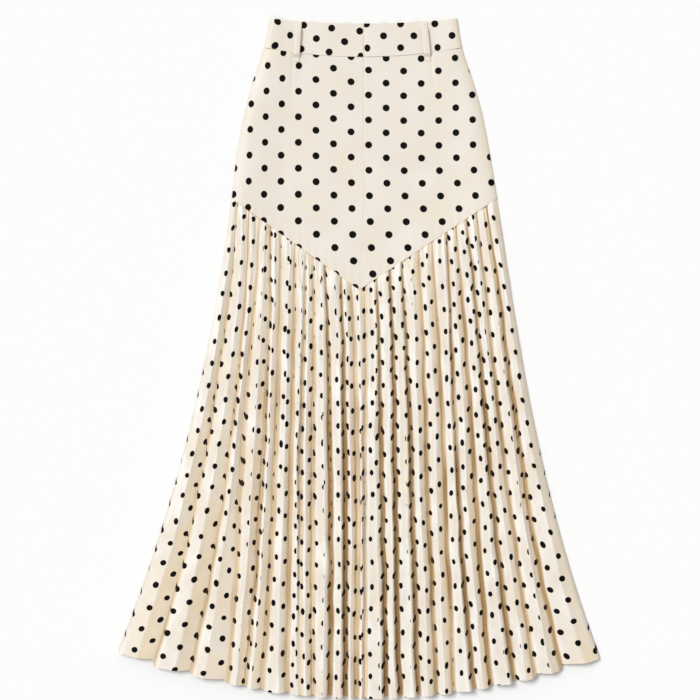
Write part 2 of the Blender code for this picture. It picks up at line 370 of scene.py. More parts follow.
class Shader:
    """A material under construction, with one Principled BSDF."""

    def __init__(self, name: str) -> None:
        """Start a material with an empty node tree.

        Args:
            name: The material's name.
        """
        self.material = bpy.data.materials.new(name)
        self.material.use_nodes = True
        self.tree = self.material.node_tree
        self.tree.nodes.clear()
        self.surface = self.node("ShaderNodeBsdfPrincipled")
        self.node("ShaderNodeOutputMaterial", inputs={"Surface": self.surface.outputs[0]})

    def node(
        self,
        kind: str,
        settings: dict[str, object] | None = None,
        inputs: dict[str | int, Feed] | None = None,
    ) -> bpy.types.Node:
        """Add a node, set its settings, then fill its sockets.

        Args:
            kind: The node's type.
            settings: Attributes of the node, or "stops" for a colour ramp.
            inputs: Values, or what feeds them, by the socket's name or place.

        Returns:
            The new node.
        """
        node = self.tree.nodes.new(kind)
        for name, value in (settings or {}).items():
            if name == "stops":
                self._set_stops(node.color_ramp, value)
            else:
                setattr(node, name, value)
        for name, value in (inputs or {}).items():
            self.feed(node.inputs[name], value)
        return node

    def feed(self, socket: bpy.types.NodeSocket, value: Feed) -> None:
        """Link a socket to what feeds it, or set its own value.

        Args:
            socket: The socket.
            value: A value or an output that feeds it, or its own number, vector or colour.
        """
        if isinstance(value, Value):
            value = value.socket
        if isinstance(value, bpy.types.NodeSocket):
            self.tree.links.new(value, socket)
        elif socket.type == "RGBA":
            socket.default_value = (*value, 1.0)
        else:
            socket.default_value = value

    @staticmethod
    def _set_stops(ramp: bpy.types.ColorRamp, stops: Sequence[tuple[float, Colour]]) -> None:
        """Give a colour ramp its stops.

        Args:
            ramp: The ramp.
            stops: Places on it, each with its colour.
        """
        while len(ramp.elements) < len(stops):
            ramp.elements.new(1.0)
        for element, (place, colour) in zip(ramp.elements, stops):
            element.position = place
            element.color = (*colour, 1.0)

    def value(self, kind: str, output: str | int = 0, **parts: dict[str | int, object]) -> Value:
        """Return one output of a new node as a value."""
        return Value(self, self.node(kind, **parts).outputs[output])

    def mixed(self, share: Value, first: Feed, second: Feed) -> bpy.types.NodeSocket:
        """Mix two colours.

        Args:
            share: The share of the second colour.
            first: The colour at 0.
            second: The colour at 1.

        Returns:
            The socket that gives the mix.
        """
        settings = {"data_type": "RGBA"}
        node = self.node("ShaderNodeMix", settings, {0: share, 6: first, 7: second})
        return node.outputs[2]

    def noise(self, vector: Feed, scale: float, detail: float = 2.0) -> Value:
        """Return a noise value round 0.5 at a scale in waves to the metre."""
        inputs = {"Vector": vector, "Scale": scale, "Detail": detail}
        return self.value("ShaderNodeTexNoise", "Fac", inputs=inputs)

    def set(self, **sockets: Feed) -> None:
        """Fill the surface's sockets, named with underscores for spaces."""
        for name, value in sockets.items():
            self.feed(self.surface.inputs[name.replace("_", " ")], value)


# ---------------------------------------------------------------------------------------------
# Finishes


@dataclass(frozen=True)
class Ground:
    """The cloth in a shader before its print: its colour with painted shade and highlights, its slubs,
    its fold attribute and its place.
    """

    colour: Feed
    slub: Value
    fold: Value
    uv: Value


@dataclass(frozen=True)
class Satin:
    """Plain cream satin: soft sheen, fine slubs along the warp, painted shade in its folds and painted
    highlights on its crests.
    """

    cream: Colour = (0.80, 0.741, 0.657)
    # A painted highlight for crests, then painted shade from the tan of a side turned from the light to
    # the brown of a deep valley; the deep colour also takes the random mottling.
    painted_highlight_white: Colour = (0.92, 0.88, 0.82)
    painted_shade_tan: Colour = (0.84, 0.695, 0.495)
    painted_shade_and_mottle_deep: Colour = (0.60, 0.46, 0.30)
    painted_shade_brown: Colour = (0.42, 0.27, 0.12)
    tan_at: float = 0.50
    deep_at: float = 0.78
    cloud_from: float = 0.30
    cloud_depth: float = 0.10
    cloud_scale: float = 22.0
    slub_scale: Place = (1400.0, 110.0)
    slub_depth: float = 0.02
    weave: float = 0.00042
    weave_height: float = 0.00003
    warp_height: float = 0.5
    weft_height: float = 0.3
    slub_height: float = 2.0
    roughness: float = 0.46
    roughness_change: float = 0.08
    specular: float = 0.05
    gloss: float = 0.35
    gloss_roughness: float = 0.38

    def ground(self, shader: Shader) -> Ground:
        """Lay out the cloth's colour, with its painted shade and highlights, and its slubs.

        Args:
            shader: The material to add to.

        Returns:
            The cloth before its print.
        """
        uv = shader.value("ShaderNodeUVMap", settings={"uv_map": PRINT_MAP})
        stretch = {"Vector": uv, "Scale": (*self.slub_scale, 1.0)}
        along = shader.node("ShaderNodeMapping", {"vector_type": "POINT"}, stretch).outputs[0]
        slub = shader.noise(along, 1.0)
        cloud = shader.noise(uv, self.cloud_scale)
        fold = shader.value("ShaderNodeAttribute", "Fac", settings={"attribute_name": SHADE_ATTRIBUTE})
        # The fold attribute picks painted highlight, plain cream or painted shade along this ramp.
        stops = (
            (0.0, self.painted_highlight_white),
            (CREAM_LEVEL, self.cream),
            (self.tan_at, self.painted_shade_tan),
            (self.deep_at, self.painted_shade_and_mottle_deep),
            (1.0, self.painted_shade_brown),
        )
        shaded = shader.node("ShaderNodeValToRGB", {"stops": stops}, {0: fold}).outputs[0]
        # Random clouds and slubs darken the colour toward the deep painted-shade colour, as mottling.
        dim = ((cloud - self.cloud_from) * self.cloud_depth + slub * self.slub_depth).clamped()
        return Ground(shader.mixed(dim, shaded, self.painted_shade_and_mottle_deep), slub, fold, uv)

    def dress(self, shader: Shader, ground: Ground, colour: Feed, ink: Value | float) -> None:
        """Fill the surface's sockets.

        Args:
            shader: The material to finish.
            ground: The cloth before its print.
            colour: The base colour with its print.
            ink: The share of ink at a point, or 0.
        """
        parts = shader.node("ShaderNodeSeparateXYZ", inputs={0: ground.uv})
        turns = math.tau / self.weave
        warp = Value(shader, parts.outputs[0]) * turns
        weft = Value(shader, parts.outputs[1]) * turns
        threads = warp.sine() * self.warp_height + weft.sine() * self.weft_height
        relief = threads + ground.slub * self.slub_height
        bump = shader.node(
            "ShaderNodeBump",
            inputs={"Height": relief, "Distance": self.weave_height, "Strength": 1.0},
        )
        rough = ground.slub * self.roughness_change + (self.roughness - self.roughness_change / 2)
        shader.set(
            Base_Color=colour,
            Roughness=rough,
            Normal=bump.outputs[0],
            Specular_IOR_Level=self.specular,
            Coat_Weight=(1.0 - ink) * self.gloss,
            Coat_Roughness=self.gloss_roughness,
        )

    def material(self, name: str) -> bpy.types.Material:
        """Make the plain satin.

        Args:
            name: The material's name.

        Returns:
            The material.
        """
        shader = Shader(name)
        ground = self.ground(shader)
        self.dress(shader, ground, ground.colour, 0.0)
        return shader.material


@dataclass(frozen=True)
class DottedSatin:
    """The satin printed with rows of round black dots."""

    satin: Satin = Satin()
    ink: Colour = (0.0035, 0.0033, 0.0032)
    # Painted shade on the ink: where the fold attribute paints deep shade, the dots turn from black to
    # brown.
    ink_in_painted_shade: Colour = (0.060, 0.033, 0.014)
    ink_shade_from: float = 0.40
    ink_shade_rate: float = 2.0
    radius: float = 0.0052
    edge: float = 0.0007
    unevenness: float = 0.0004
    unevenness_scale: float = 240.0

    def material(self, name: str, layout: DotLayout) -> bpy.types.Material:
        """Make the printed satin for one layout of dots.

        Args:
            name: The material's name.
            layout: The dots' pitch and rows.

        Returns:
            The material.
        """
        shader = Shader(name)
        ground = self.satin.ground(shader)
        parts = shader.node("ShaderNodeSeparateXYZ", inputs={0: ground.uv})
        across = Value(shader, parts.outputs[0]) / layout.pitch
        down = Value(shader, parts.outputs[1]) / (2.0 * layout.row)
        nearest = self._from_dot(across + 0.5, down + 0.5, layout).least(
            self._from_dot(across, down, layout)
        )
        wander = (shader.noise(ground.uv, self.unevenness_scale, 0.0) - 0.5) * self.unevenness
        ink = ((self.radius + self.edge / 2 + wander - nearest) / self.edge).clamped()
        # Dots in deep painted shade are painted brown.
        deep = ((ground.fold - self.ink_shade_from) * self.ink_shade_rate).clamped()
        inked = shader.mixed(deep, self.ink, self.ink_in_painted_shade)
        self.satin.dress(shader, ground, shader.mixed(ink, ground.colour, inked), ink)
        return shader.material

    @staticmethod
    def _from_dot(across: Value, down: Value, layout: DotLayout) -> Value:
        """Return the distance from the dots that lie at whole numbers and a half.

        Args:
            across: Place across, in pitches.
            down: Place down, in pairs of rows.
            layout: The dots' pitch and rows.

        Returns:
            The distance in metres.
        """
        run = (across.fraction() - 0.5) * layout.pitch
        rise = (down.fraction() - 0.5) * (2.0 * layout.row)
        return (run * run + rise * rise) ** 0.5


@dataclass(frozen=True)
class PaleFloor:
    """A plain pale floor."""

    colour: Colour = (0.90, 0.90, 0.90)
    roughness: float = 0.9

    def material(self) -> bpy.types.Material:
        """Make the floor's finish.

        Returns:
            The material.
        """
        shader = Shader("pale_floor")
        shader.set(Base_Color=self.colour, Roughness=self.roughness, Specular_IOR_Level=0.0)
        return shader.material


# ---------------------------------------------------------------------------------------------
# Cloth


@dataclass(frozen=True)
class Cut:
    """The flat cut of a laid piece: its width, its length and its area, and what it lies on."""

    width: float
    length: float
    area: float
    rests_on: tuple[str, ...] = ()

    def declare(self, obj: bpy.types.Object, *with_pieces: bpy.types.Object) -> None:
        """Take a piece of this cut, and do nothing with it.

        Args:
            obj: The piece; not used.
            with_pieces: The pieces sewn on it; not used.
        """


def show(name: str, form: bmesh.types.BMesh) -> bpy.types.Object:
    """Put a form in the scene, and free it.

    Args:
        name: The object's name.
        form: Its form.

    Returns:
        The object, at the origin.
    """
    mesh = bpy.data.meshes.new(name)
    form.to_mesh(mesh)
    form.free()
    obj = bpy.data.objects.new(name, mesh)
    bpy.context.scene.collection.objects.link(obj)
    return obj


class Cloth(ABC):
    """A piece of cloth as a grid of columns and rows on its outer face, with a wall below."""

    name: str
    wall: float
    edge_radius: float = 0.0
    edge_steps: int = 2
    edge_angle: float = math.radians(50)
    sharp_fold: float = math.radians(75)
    columns: int
    rows: int

    @abstractmethod
    def place(self, column: int, row: int) -> Vector:
        """Return the outer face's point at a column and row."""

    @abstractmethod
    def printed(self, column: int, row: int, strip: int) -> Place:
        """Return the point's place on the printed cloth, as a strip of faces sees it."""

    def strip(self, column: int) -> int:
        """Return the strip that the faces to the right of a column belong to."""
        return 0

    def shade(self, column: int, row: int) -> float:
        """Return the painted shade at a point, from 0 for a painted highlight on a pressed crest to 1 in
        a valley.
        """
        return CREAM_LEVEL

    def make(self) -> bpy.types.Object:
        """Build the piece.

        Returns:
            Its object, at the origin and in the scene.
        """
        grid = bmesh.new()
        bmesh.ops.create_grid(grid, x_segments=self.columns, y_segments=self.rows, size=0.5)
        uv_layer = grid.loops.layers.uv.new(PRINT_MAP)
        shade_layer = grid.verts.layers.float.new(SHADE_ATTRIBUTE)
        spots = {}
        for vert in grid.verts:
            column = round((vert.co.x + 0.5) * self.columns)
            row = round((0.5 - vert.co.y) * self.rows)
            spots[vert] = (column, row)
            vert.co = self.place(column, row)
            vert[shade_layer] = self.shade(column, row)
        for face in grid.faces:
            strip = self.strip(min(spots[vert][0] for vert in face.verts))
            for loop in face.loops:
                loop[uv_layer].uv = self.printed(*spots[loop.vert], strip)
        area = sum(face.calc_area() for face in grid.faces)
        obj = show(self.name, grid)
        obj.data.shade_smooth()
        obj.data.set_sharp_from_angle(angle=self.sharp_fold)
        self._add_wall(obj)
        LOG.info("%s: %d faces, %.4f square metres", self.name, len(obj.data.polygons), area)
        return obj

    def _add_wall(self, obj: bpy.types.Object) -> None:
        """Give the piece its wall, and round the wall's edges where they are thick.

        Args:
            obj: The piece.
        """
        solid = obj.modifiers.new("wall", "SOLIDIFY")
        solid.thickness = self.wall
        solid.offset = -1.0
        if self.edge_radius:
            bevel = obj.modifiers.new("folded_edges", "BEVEL")
            bevel.width = self.edge_radius
            bevel.segments = self.edge_steps
            bevel.limit_method = "ANGLE"
            bevel.angle_limit = self.edge_angle


def dress(obj: bpy.types.Object, material: bpy.types.Material, slot: Slot, *nodes: str) -> None:
    """Give a piece its finish and its place in the frame.

    Args:
        obj: The piece.
        material: Its finish.
        slot: The record's slot for that finish; not used.
        nodes: The frame's nodes that the piece stands for.
    """
    obj.data.materials.append(material)
    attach(obj, BODY)
    if nodes:
        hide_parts(*nodes)


def sew(panel: Cloth, material: bpy.types.Material, slot: Slot, node: str, cut: Cut) -> bpy.types.Object:
    """Build a panel and dress it, and hand it to its cut, which does nothing with it.

    Args:
        panel: The panel.
        material: Its finish.
        slot: The record's slot for that finish; not used.
        node: The frame's node that it stands for.
        cut: Its flat cut.

    Returns:
        The piece.
    """
    piece = panel.make()
    dress(piece, material, slot, node)
    cut.declare(piece)
    return piece


def marks_between(edge_marks: Sequence[float], far_marks: Sequence[float], steps: int) -> list[float]:
    """List the shares of a width from one edge to the other, close near both edges.

    Args:
        edge_marks: Shares in from the first edge, from 0.
        far_marks: Shares in from the second edge, from 0.
        steps: How many even steps lie between.

    Returns:
        The shares, from 0 to 1.
    """
    start, end = edge_marks[-1], 1.0 - far_marks[-1]
    middle = [mix(start, end, step / steps) for step in range(1, steps)]
    return [*edge_marks, *middle, *(1.0 - share for share in reversed(far_marks))]


@dataclass(frozen=True)
class Span:
    """How a panel lies from side to side: its two side lines, and its columns between them."""

    left_of: Edge
    right_of: Edge
    across: Sequence[float]

    def at(self, share: float, height: float) -> float:
        """Return the x at a share of the way from the left side line to the right one."""
        return mix(self.left_of(height), self.right_of(height), share)


def spans(outline: Outline, steps: int, back_inset: float, back_steps: int) -> tuple[Span, Span, Span]:
    """Lay out the left front, the right front and the back of the band or yoke.

    Args:
        outline: The skirt's outline.
        steps: How many even steps lie between the close columns of a front.
        back_inset: How far in from the side lines the back lies.
        back_steps: How many columns of faces the back has.

    Returns:
        The spans of the left front, the right front and the back.
    """
    shares = marks_between(SIDE_MARKS, CENTRE_MARKS, steps)
    mirrored = [1.0 - share for share in reversed(shares)]
    return (
        Span(outline.left_side, outline.left_of_centre, shares),
        Span(outline.right_of_centre, outline.right_side, mirrored),
        Span(
            lambda height: outline.left_side(height) + back_inset,
            lambda height: outline.right_side(height) - back_inset,
            [step / back_steps for step in range(back_steps + 1)],
        ),
    )


@dataclass
class SmoothPanel(Cloth):
    """A panel of the band or yoke between two side lines and two edges."""

    name: str
    wall: float
    span: Span
    upper: Edge
    lower: Edge
    outer: Surface
    tone: Surface
    on_print: Callable[[float, float], Place]
    upper_marks: Sequence[float]
    lower_marks: Sequence[float]
    steps: int
    edge_radius: float = 0.0
    edge_passes: int = 6

    @property
    def columns(self) -> int:
        """The number of columns of faces."""
        return len(self.span.across) - 1

    @cached_property
    def down(self) -> list[tuple[float, float]]:
        """The rows, as shares of the way down and distances down from there."""
        margins = self.upper_marks[-1], self.lower_marks[-1]
        middle = [step / self.steps for step in range(1, self.steps)]
        inner = [(share, mix(margins[0], -margins[1], share)) for share in middle]
        upper = [(0.0, distance) for distance in self.upper_marks]
        lower = [(1.0, -distance) for distance in reversed(self.lower_marks)]
        return [*upper, *inner, *lower]

    @property
    def rows(self) -> int:
        """The number of rows of faces."""
        return len(self.down) - 1

    @cached_property
    def ends(self) -> list[tuple[float, float]]:
        """The heights of the upper and lower edge at each column."""
        shares = self.span.across
        return [(self._edge(share, self.upper), self._edge(share, self.lower)) for share in shares]

    def _edge(self, share: float, edge: Edge) -> float:
        """Find the point at a share of an edge between the side lines, by closing in on it.

        Args:
            share: The share of the way from the left side line to the right one.
            edge: The edge's height at an x.

        Returns:
            The point's height.
        """
        height = edge(0.0)
        for _ in range(self.edge_passes):
            height = edge(self.span.at(share, height))
        return height

    def _spot(self, column: int, row: int) -> Place:
        """Find the place of a column and row, seen from above.

        Args:
            column: The column.
            row: The row.

        Returns:
            The x and y.
        """
        top, bottom = self.ends[column]
        share, distance = self.down[row]
        y = mix(top, bottom, share) - distance
        return self.span.at(self.span.across[column], y), y

    def place(self, column: int, row: int) -> Vector:
        """Return the outer face's point at a column and row."""
        x, y = self._spot(column, row)
        return Vector((x, y, self.outer(x, y)))

    def printed(self, column: int, row: int, strip: int) -> Place:
        """Return the point's place on the printed cloth."""
        return self.on_print(*self._spot(column, row))

    def shade(self, column: int, row: int) -> float:
        """Return the painted shade at a point."""
        return self.tone(*self._spot(column, row))


@dataclass(frozen=True)
class Tone:
    """The soft tones over a smooth part: random tan clouds and paler patches, and painted shade along the
    right side and the centre seam.
    """

    outline: Outline
    cloud: float = 0.13
    gleam: float = 0.05
    cloud_size: float = 0.050
    cloud_seed: float = 21.0
    # side is painted shade along the right side, which faces away from the light; centre is painted shade
    # along the centre-front groove.
    side: float = 0.16
    side_width: float = 0.014
    centre: float = 0.0
    centre_width: float = 0.0012

    def at(self, x: float, y: float) -> float:
        """Find the painted shade at a place.

        Args:
            x: Place across.
            y: Place up.

        Returns:
            The painted shade, round the level of plain cream.
        """
        wave = ripple(x, y, self.cloud_size, self.cloud_seed)
        from_right = self.outline.right_side(y) - x
        side = self.side * (1.0 - ease(from_right / self.side_width))
        centre = self.centre * mark(x - self.outline.centre_front(y), self.centre_width)
        return CREAM_LEVEL + side + centre + wave * (self.cloud if wave > 0.0 else self.gleam)


# ---------------------------------------------------------------------------------------------
# Waistband


@dataclass(frozen=True)
class Roll:
    """The soft roll along the front's sides, and the swell that dies away inwards from it."""

    width: float
    swell: float
    fade: float

    def height(self, distance: float, edge: float, rest: float) -> float:
        """Find the outer face's height at a distance from the side.

        Args:
            distance: Distance in from the side line.
            edge: Height at the side line.
            rest: Height far from it.

        Returns:
            The height above the surface.
        """
        if distance < self.width:
            return mix(edge, rest + self.swell, quarter_round(distance, self.width))
        return rest + self.swell * (1.0 - ease((distance - self.width) / self.fade))


@dataclass(frozen=True)
class Pull:
    """A place where the cloth is pulled aside by a loop or a seam, and its print with it."""

    at: Place
    by: Place
    size: float

    def shift(self, x: float, y: float) -> Vector:
        """Return how far the cloth at a place has been pulled."""
        return Vector(self.by) * mark(math.hypot(x - self.at[0], y - self.at[1]), self.size)


@dataclass
class Waistband:
    """The folded band: its left and right front, which meet at the centre, and its back."""

    outline: Outline
    wall: float = 0.0016
    rest: float = 0.0046
    edge_radius: float = 0.0006
    edge_marks: tuple[float, ...] = (0.0, 0.0012, 0.003)
    roll: Roll = Roll(width=0.008, swell=0.0020, fade=0.032)
    groove_depth: float = 0.0007
    groove_width: float = 0.0012
    # Painted shade along the centre-front groove.
    groove_painted_shade: float = 0.42
    ripple_size: float = 0.045
    ripple_height: float = 0.00045
    ripple_seed: float = 3.0
    relief_from: float = 0.004
    relief_onset: float = 0.020
    back_inset: float = 0.0021
    back_top: float = 0.0016
    column_steps: int = 44
    row_steps: int = 12
    left_layout: DotLayout = DotLayout(dot_x=-0.0428, dot_y=0.5122, pitch=0.0438, row=0.0186, tilt=-0.105)
    right_layout: DotLayout = DotLayout(dot_x=0.0642, dot_y=0.5187, pitch=0.0531, row=0.0184, tilt=0.004)
    back_layout: DotLayout = DotLayout(dot_x=0.0100, dot_y=0.5010)
    pulls: tuple[Pull, ...] = (
        Pull(at=(-0.1290, 0.5040), by=(0.0055, 0.0010), size=0.0270),
        Pull(at=(-0.0035, 0.4700), by=(0.0060, -0.0022), size=0.0160),
        Pull(at=(0.0850, 0.5010), by=(-0.0075, 0.0), size=0.0120),
        Pull(at=(0.1190, 0.4825), by=(0.0050, 0.0), size=0.0130),
    )
    left_cut: Cut = Cut(width=0.160, length=0.060, area=0.0077, rests_on=("waistband_back",))
    right_cut: Cut = Cut(width=0.157, length=0.060, area=0.0076, rests_on=("waistband_back",))
    back_cut: Cut = Cut(width=0.306, length=0.060, area=0.0148)

    def outer(self, x: float, y: float) -> float:
        """Find the height of the front's outer face.

        Args:
            x: Place across.
            y: Place up.

        Returns:
            The height above the surface.
        """
        from_side = self.outline.from_side(x, y)
        height = self.roll.height(from_side, EDGE_HEIGHT, self.rest)
        centre = self.groove_depth * mark(x - self.outline.centre_front(y), self.groove_width)
        wave = self.ripple_height * ripple(x, y, self.ripple_size, self.ripple_seed)
        inward = ease((from_side - self.relief_from) / self.relief_onset)
        return height - centre + wave * inward

    def _on_print(self, layout: DotLayout, x: float, y: float) -> Place:
        """Return a place on the printed cloth, which the loops and seams pull aside."""
        pulled = sum((pull.shift(x, y) for pull in self.pulls), Vector((0.0, 0.0)))
        return layout.place(x - pulled.x, y - pulled.y)

    def _panel(self, side: str, span: Span, layout: DotLayout) -> SmoothPanel:
        """Lay out one panel of the band, formed as the front is.

        Args:
            side: The panel's side, which ends its name.
            span: How it lies from side to side.
            layout: How its dots lie.

        Returns:
            The panel.
        """
        return SmoothPanel(
            name=f"satin_waistband_{side}",
            wall=self.wall,
            span=span,
            upper=self.outline.waist_edge,
            lower=self.outline.band_seam,
            outer=self.outer,
            tone=Tone(self.outline, centre=self.groove_painted_shade).at,
            on_print=partial(self._on_print, layout),
            upper_marks=self.edge_marks,
            lower_marks=self.edge_marks,
            steps=self.row_steps,
            edge_radius=self.edge_radius,
        )

    def build(self, finish: DottedSatin) -> list[bpy.types.Object]:
        """Build and dress the band's pieces.

        Args:
            finish: The printed satin.

        Returns:
            The pieces.
        """
        steps = self.column_steps
        left_span, right_span, back_span = spans(self.outline, steps, self.back_inset, steps)
        left = self._panel("left", left_span, self.left_layout)
        right = self._panel("right", right_span, self.right_layout)
        back = self._panel("back", back_span, self.back_layout)
        back.outer = lambda x, y: self.back_top
        plans = (
            (left, self.left_layout, "waistband_front_left", self.left_cut),
            (right, self.right_layout, "waistband_front_right", self.right_cut),
            (back, self.back_layout, "waistband_back", self.back_cut),
        )
        return [
            sew(panel, finish.material(panel.name, layout), Slot.DOTTED, node, cut)
            for panel, layout, node, cut in plans
        ]


# ---------------------------------------------------------------------------------------------
# Yoke


@dataclass(frozen=True)
class Line:
    """A straight line that dents the cloth, such as a dart or a soft crease.

    It is deepest at its upper end, starts a share of its length above it, and fades to its lower
    end.
    """

    top: Place
    end: Place
    depth: float
    width: float
    lead: float = 0.2

    def dent(self, x: float, y: float) -> float:
        """Find how far the line pulls the cloth down.

        Args:
            x: Place across.
            y: Place up.

        Returns:
            The dent's depth there.
        """
        place, start = Vector((x, y)), Vector(self.top)
        run = Vector(self.end) - start
        share = (place - start).dot(run) / run.length_squared
        nearest = start + run * kept(share, -self.lead, 1.0)
        return self.depth * (1.0 - ease(share)) * mark((place - nearest).length, self.width)


@dataclass
class Yoke:
    """The smooth pointed yoke: its left and right front, and its back."""

    outline: Outline
    wall: float = 0.0006
    rest: float = 0.0034
    at_pleats: float = 0.0048
    rise_length: float = 0.060
    roll: Roll = Roll(width=0.020, swell=0.0034, fade=0.060)
    tuck: float = 0.0016
    tuck_height: float = 0.0026
    tuck_length: float = 0.0031
    tuck_marks: tuple[float, ...] = (0.0, 0.001, 0.002, 0.003, 0.004, 0.006)
    lip_depth: float = 0.0008
    lip_length: float = 0.0016
    lip_marks: tuple[float, ...] = (0.0, 0.00015, 0.0004, 0.0009, 0.0016, 0.003, 0.005)
    groove_depth: float = 0.00045
    groove_width: float = 0.0016
    # Painted shade along the centre-front groove.
    groove_painted_shade: float = 0.08
    groove_low: float = 0.15
    groove_low_to: float = 0.28
    groove_onset: float = 0.20
    ripple_size: float = 0.070
    ripple_height: float = 0.0007
    ripple_seed: float = 8.0
    relief_from: float = 0.004
    relief_onset: float = 0.030
    pucker_pitch: float = 0.0138
    pucker_height: float = 0.00035
    pucker_fade: float = 0.012
    # A tan line of painted shade along the pointed seam's turned lip.
    seam_painted_shade: float = 0.45
    seam_width: float = 0.0014
    back_inset: float = 0.0012
    back_top: float = 0.0006
    back_gap: float = 0.0003
    column_steps: int = 72
    row_steps: int = 78
    back_column_steps: int = 60
    back_row_steps: int = 40
    lines: tuple[Line, ...] = (
        Line(top=(-0.1025, 0.4700), end=(-0.1073, 0.3690), depth=0.0009, width=0.0018),
        Line(top=(0.1109, 0.4700), end=(0.1190, 0.3810), depth=0.0009, width=0.0018),
        Line(top=(-0.1425, 0.4810), end=(-0.1640, 0.4020), depth=0.0012, width=0.0050),
    )
    layout: DotLayout = DotLayout(dot_x=-0.01274, dot_y=0.43423, pitch=0.05446, row=0.019815)
    wrap_width: float = 0.088
    wrap_left: float = 0.0103
    wrap_right: float = 0.0030
    sag_centre: float = 0.093
    sag_width: float = 0.180
    sag_top: float = 0.0085
    sag_low: float = 0.0025
    sag_heights: Place = (0.250, 0.450)
    sag_limits: Place = (-1.0, 1.3)
    spread: float = 0.052
    spread_from_x: float = -0.0948
    spread_drop: float = 0.0066
    spread_heights: Place = (0.3626, 0.1412)
    left_cut: Cut = Cut(width=0.209, length=0.378, area=0.0577, rests_on=("yoke_back",))
    right_cut: Cut = Cut(width=0.218, length=0.378, area=0.0573, rests_on=("yoke_back",))
    back_cut: Cut = Cut(width=0.411, length=0.375, area=0.1124)

    def outer(self, x: float, y: float) -> float:
        """Find the height of the front's outer face.

        Args:
            x: Place across.
            y: Place up.

        Returns:
            The height above the surface.
        """
        outline = self.outline
        from_side = outline.from_side(x, y)
        above_seam = y - outline.pointed_seam(x)
        rest = mix(self.rest, self.at_pleats, ease(1.0 - above_seam / self.rise_length))
        inward = ease((from_side - self.relief_from) / self.relief_onset)
        height = self.roll.height(from_side, EDGE_HEIGHT, rest)
        height += self.ripple_height * inward * ripple(x, y, self.ripple_size, self.ripple_seed)
        upper_part = ease((y - self.groove_low_to) / self.groove_onset)
        groove = self.groove_depth * mix(self.groove_low, 1.0, upper_part)
        height -= groove * mark(x - outline.centre_front(y), self.groove_width)
        height -= inward * sum(line.dent(x, y) for line in self.lines)
        puckers = math.cos(math.tau * x / self.pucker_pitch)
        near_seam = math.exp(-max(above_seam, 0.0) / self.pucker_fade)
        height += self.pucker_height * inward * near_seam * puckers
        height -= self.lip_depth * (1.0 - quarter_round(above_seam, self.lip_length))
        below_band = outline.band_seam(x) - y
        under = 1.0 - ease((below_band + self.tuck) / self.tuck_length)
        return mix(height, min(height, self.tuck_height), under)

    def tone(self, x: float, y: float) -> float:
        """Find the painted shade, with a tan line of painted shade along the pointed seam.

        Args:
            x: Place across.
            y: Place up.

        Returns:
            The painted shade, round the level of plain cream.
        """
        above_seam = y - self.outline.pointed_seam(x)
        cloth = Tone(self.outline, centre=self.groove_painted_shade).at(x, y)
        return cloth + self.seam_painted_shade * mark(above_seam, self.seam_width)

    def on_print(self, x: float, y: float) -> Place:
        """Find a place on the printed cloth, which wraps round the sides, sags and spreads.

        Args:
            x: Place across.
            y: Place up.

        Returns:
            The places along and across the rows of dots.
        """
        left, right = self.outline.side_lines(y)
        wrapped_left = max(1.0 - (x - left) / self.wrap_width, 0.0) ** 2
        wrapped_right = max(1.0 - (right - x) / self.wrap_width, 0.0) ** 2
        across = x - self.wrap_left * wrapped_left + self.wrap_right * wrapped_right
        high, low = self.spread_heights
        spread = max((high - y) / (high - low), 0.0) ** 2
        across -= self.spread * spread * (x - self.spread_from_x)
        low, high = self.sag_heights
        raised = kept((y - low) / (high - low), *self.sag_limits)
        aside = (x - self.sag_centre) / self.sag_width
        sag = mix(self.sag_low, self.sag_top, raised) * max(1.0 - aside * aside, 0.0)
        return self.layout.place(across, y + sag + self.spread_drop * spread)

    def _panel(self, side: str, span: Span) -> SmoothPanel:
        """Lay out one panel of the yoke, formed as the front is and tucked under the band.

        Args:
            side: The panel's side, which ends its name.
            span: How it lies from side to side.

        Returns:
            The panel.
        """
        return SmoothPanel(
            name=f"satin_yoke_{side}",
            wall=self.wall,
            span=span,
            upper=lambda x: self.outline.band_seam(x) + self.tuck,
            lower=self.outline.pointed_seam,
            outer=self.outer,
            tone=self.tone,
            on_print=self.on_print,
            upper_marks=self.tuck_marks,
            lower_marks=self.lip_marks,
            steps=self.row_steps,
        )

    def _back(self, span: Span) -> SmoothPanel:
        """Lay out the back of the yoke, which lies flat and ends below the band's seam.

        Args:
            span: How it lies from side to side.

        Returns:
            The panel.
        """
        panel = self._panel("back", span)
        panel.upper = lambda x: self.outline.band_seam(x) - self.back_gap
        panel.outer = lambda x, y: self.back_top
        panel.steps = self.back_row_steps
        return panel

    def build(self, finish: DottedSatin) -> list[bpy.types.Object]:
        """Build and dress the yoke's pieces.

        Args:
            finish: The printed satin.

        Returns:
            The pieces.
        """
        material = finish.material("satin_yoke", self.layout)
        left_span, right_span, back_span = spans(
            self.outline, self.column_steps, self.back_inset, self.back_column_steps
        )
        plans = (
            (self._panel("left", left_span), "yoke_front_left", self.left_cut),
            (self._panel("right", right_span), "yoke_front_right", self.right_cut),
            (self._back(back_span), "yoke_back", self.back_cut),
        )
        return [sew(panel, material, Slot.DOTTED, node, cut) for panel, node, cut in plans]


# ---------------------------------------------------------------------------------------------
# Pleats


